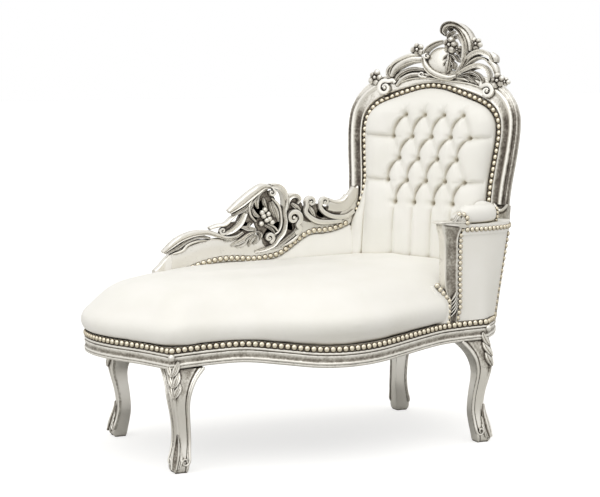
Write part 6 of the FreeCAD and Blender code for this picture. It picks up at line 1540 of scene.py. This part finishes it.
# %% [markdown]
# ### Nails in the corner and on the arm
# In the corner a short row joins the low rail's nails to those of the tall back. The arm's
# nails are a size smaller. Each row runs on its own measured line, so all rows of the arm
# are made anew together, and one function spaces and turns the domes.

# %% Nails from the low rail up the left stile
JOIN_NAILS = [(-262, -3), (-249, 8), (-238, 23), (-231, 42), (-225, 61), (-220, 80), (-217, 98), (-215, 115)]
join_nails = bmesh.new()
nail_row(join_nails, [BACK_PLACE @ Vector((across, up, 5)) for across, up in JOIN_NAILS],
         lambda ahead, share: BACK_PLACE.to_3x3() @ Vector((0, 0, 1)))
finished(join_nails, "corner_nails_row", "polished_nails", sharp=180)

# %% Nails of the arm
ARM_OUTER = [(0.795, -1.015), (0.893, -1.015), (0.995, -1.0), (1.09, -0.955), (1.18, -0.875), (1.25, -0.70),
             (1.295, -0.53)]
ARM_FOOT = [(0.795, -0.996), (0.893, -0.990), (0.993, -0.981), (1.05, -0.89), (1.107, -0.795), (1.146, -0.70),
            (1.203, -0.55)]
outer_path, foot_path = ([Vector((CENTRE_X + x * HALF_X, CENTRE_Y + y * HALF_Y, 0)) for x, y in shares]
                         for shares in (ARM_OUTER, ARM_FOOT))


def path_out(path, place):
    """Level direction out of a path."""
    return out_of_plan(row_point(path, place + 0.1) - row_point(path, place - 0.1), 0)


# %% Rows on the post's front and round its cap
arm_nails = bmesh.new()
POST_NAILS_RIGHT = [(364, 356), (367.5, 371), (371, 386), (375, 401), (374, 480), (374, 560), (375, 610), (381, 626)]
POST_NAILS_LEFT = [(334.5, 361), (336, 376), (338, 395), (338, 410), (338, 425), (328, 436), (318, 447),
                   (308, 458), (298, 470)]
CAP_NAILS = [(365, 672), (380, 671), (391, 661), (392, 647)]
for row, level in ((POST_NAILS_RIGHT, CENTRE_Y - 0.996 * HALF_Y - 0.4), (POST_NAILS_LEFT, ARM_FRONT + 3.5),
                   (CAP_NAILS, ARM_FRONT - 2)):
    nail_row(arm_nails, [(x, level, up) for x, up in row], lambda ahead, share: Vector((0, -1, 0)), ARM_NAIL_PITCH,
             ARM_NAIL_RADIUS)

# %% Rows down the rear edge, along the arm rail, and up the rear of the pad
EDGE_PLACE, EDGE_LOW, EDGE_HIGH = 4.5, 347, 603
RAIL_PLACES, RAIL_NAILS = (0.62, 5.9), 627
PAD_NAIL_RADIUS, PAD_NAIL_PITCH = 6.2, 11.4
PAD_NAIL_FOOT = Vector((505, -182, 0))
PAD_NAILS = [(646, 24.5), (657, 28), (668, 28.6), (680, 27)]
edge_out = path_out(outer_path, EDGE_PLACE)
edge_top = row_point(outer_path, EDGE_PLACE) - edge_out * NAIL_RECESS
edge_foot = row_point(foot_path, EDGE_PLACE)
nail_row(arm_nails, [edge_foot.lerp(edge_top, part) + edge_out * 0.4
                     + Vector((0, 0, EDGE_LOW + part * (EDGE_HIGH - EDGE_LOW))) for part in evenly(0, 1, 12)],
         lambda ahead, share: edge_out)
nail_row(arm_nails, [row_point(outer_path, place) + path_out(outer_path, place) * 0.6 + Vector((0, 0, RAIL_NAILS))
                     for place in evenly(*RAIL_PLACES, 26)], out_of_plan, ARM_NAIL_PITCH, ARM_NAIL_RADIUS)
pad_out = Vector((0.468, -0.882, 0)).normalized()
nail_row(arm_nails, [PAD_NAIL_FOOT + pad_out * reach + Vector((0, 0, up)) for up, reach in PAD_NAILS],
         lambda ahead, share: (pad_out + Vector((0, 0, share * 0.8 - 0.2))).normalized(), PAD_NAIL_PITCH,
         PAD_NAIL_RADIUS)
finished(arm_nails, "arm_nail_rows", "polished_nails", ["arm_nails"], sharp=180)

# %% [markdown]
# ## Camera, light and stage
# The photograph is taken from the front left at about eye height with a long lens. The
# light is soft and even. The floor and the world are white, and the floor keeps a shadow.

# %% Camera
CAMERA_PLACE = (-2.16997, -4.73865, 1.15955)
CAMERA_TURN, CAMERA_DIP = -0.42579, 0.11355
camera_data = bpy.data.cameras.new("camera")
camera_data.lens, camera_data.sensor_width = 108, 36
camera = bpy.data.objects.new("camera", camera_data)
bpy.context.collection.objects.link(camera)
camera.matrix_world = (Matrix.Translation(CAMERA_PLACE) @ Matrix.Rotation(CAMERA_TURN, 4, "Z")
                       @ Matrix.Rotation(math.pi / 2 - CAMERA_DIP, 4, "X"))
bpy.context.scene.camera = camera

# %% World
SKY_STRENGTH = 0.68
bpy.context.scene.view_settings.view_transform = "Standard"
world = bpy.data.worlds.new("studio")
bpy.context.scene.world = world
world.use_nodes = True
sky = world.node_tree
rays = add_node(sky, "LightPath")
seen = add_node(sky, "Math", {0: rays.outputs["Is Camera Ray"], 1: rays.outputs["Is Glossy Ray"]},
                operation="MAXIMUM")
seen = add_node(sky, "Math", {0: seen.outputs[0], 1: rays.outputs["Is Transmission Ray"]}, operation="MAXIMUM")
level = add_node(sky, "MapRange", {"Value": seen.outputs[0], "To Min": SKY_STRENGTH, "To Max": 1.0})
tint = add_node(sky, "Mix", {"Factor": seen.outputs[0], "A": linear("#FFFCF6"), "B": (1, 1, 1, 1)},
                data_type="RGBA")
back = sky.nodes["Background"]
sky.links.new(tint.outputs["Result"], back.inputs["Color"])
sky.links.new(level.outputs["Result"], back.inputs["Strength"])


# %% Two soft lamps
def lamp(name, strength, turn, tilt, spread):
    """A distant soft lamp: turn round the object, tilt down from straight above."""
    data = bpy.data.lights.new(name, "SUN")
    data.energy, data.angle = strength, math.radians(spread)
    item = bpy.data.objects.new(name, data)
    item.rotation_euler = (math.radians(tilt), 0, math.radians(turn))
    bpy.context.collection.objects.link(item)


lamp("overhead", 0.95, -20, 18, 70)
lamp("front_left", 0.45, -60, 60, 60)

# %% [markdown]
# ### The floor
# A studio floor is white paper or paint that runs out of the picture. One large square does
# for it. A pale grey paint takes the shadow, and a share of its own light, seen by the camera
# alone, lifts the rest to white.

# %% Floor
FLOOR_HALF = 30
FLOOR_GLOW = 0.62
floor_mesh = bmesh.new()
bmesh.ops.create_grid(floor_mesh, x_segments=1, y_segments=1, size=FLOOR_HALF)
floor_data = bpy.data.meshes.new("studio_floor")
floor_mesh.to_mesh(floor_data)
floor_mesh.free()
floor = bpy.data.objects.new("studio_floor", floor_data)
bpy.context.collection.objects.link(floor)
paint, tree, shader, place = new_material("white_studio_floor", Roughness=0.9)
shader.inputs["Base Color"].default_value = linear("#C9C9C8")
rays = add_node(tree, "LightPath")
glow = add_node(tree, "MapRange", {"Value": rays.outputs["Is Camera Ray"], "To Min": 0.0, "To Max": FLOOR_GLOW})
shader.inputs["Emission Color"].default_value = (1, 1, 1, 1)
feed(shader, Emission_Strength=glow.outputs["Result"])
floor_data.materials.append(paint)
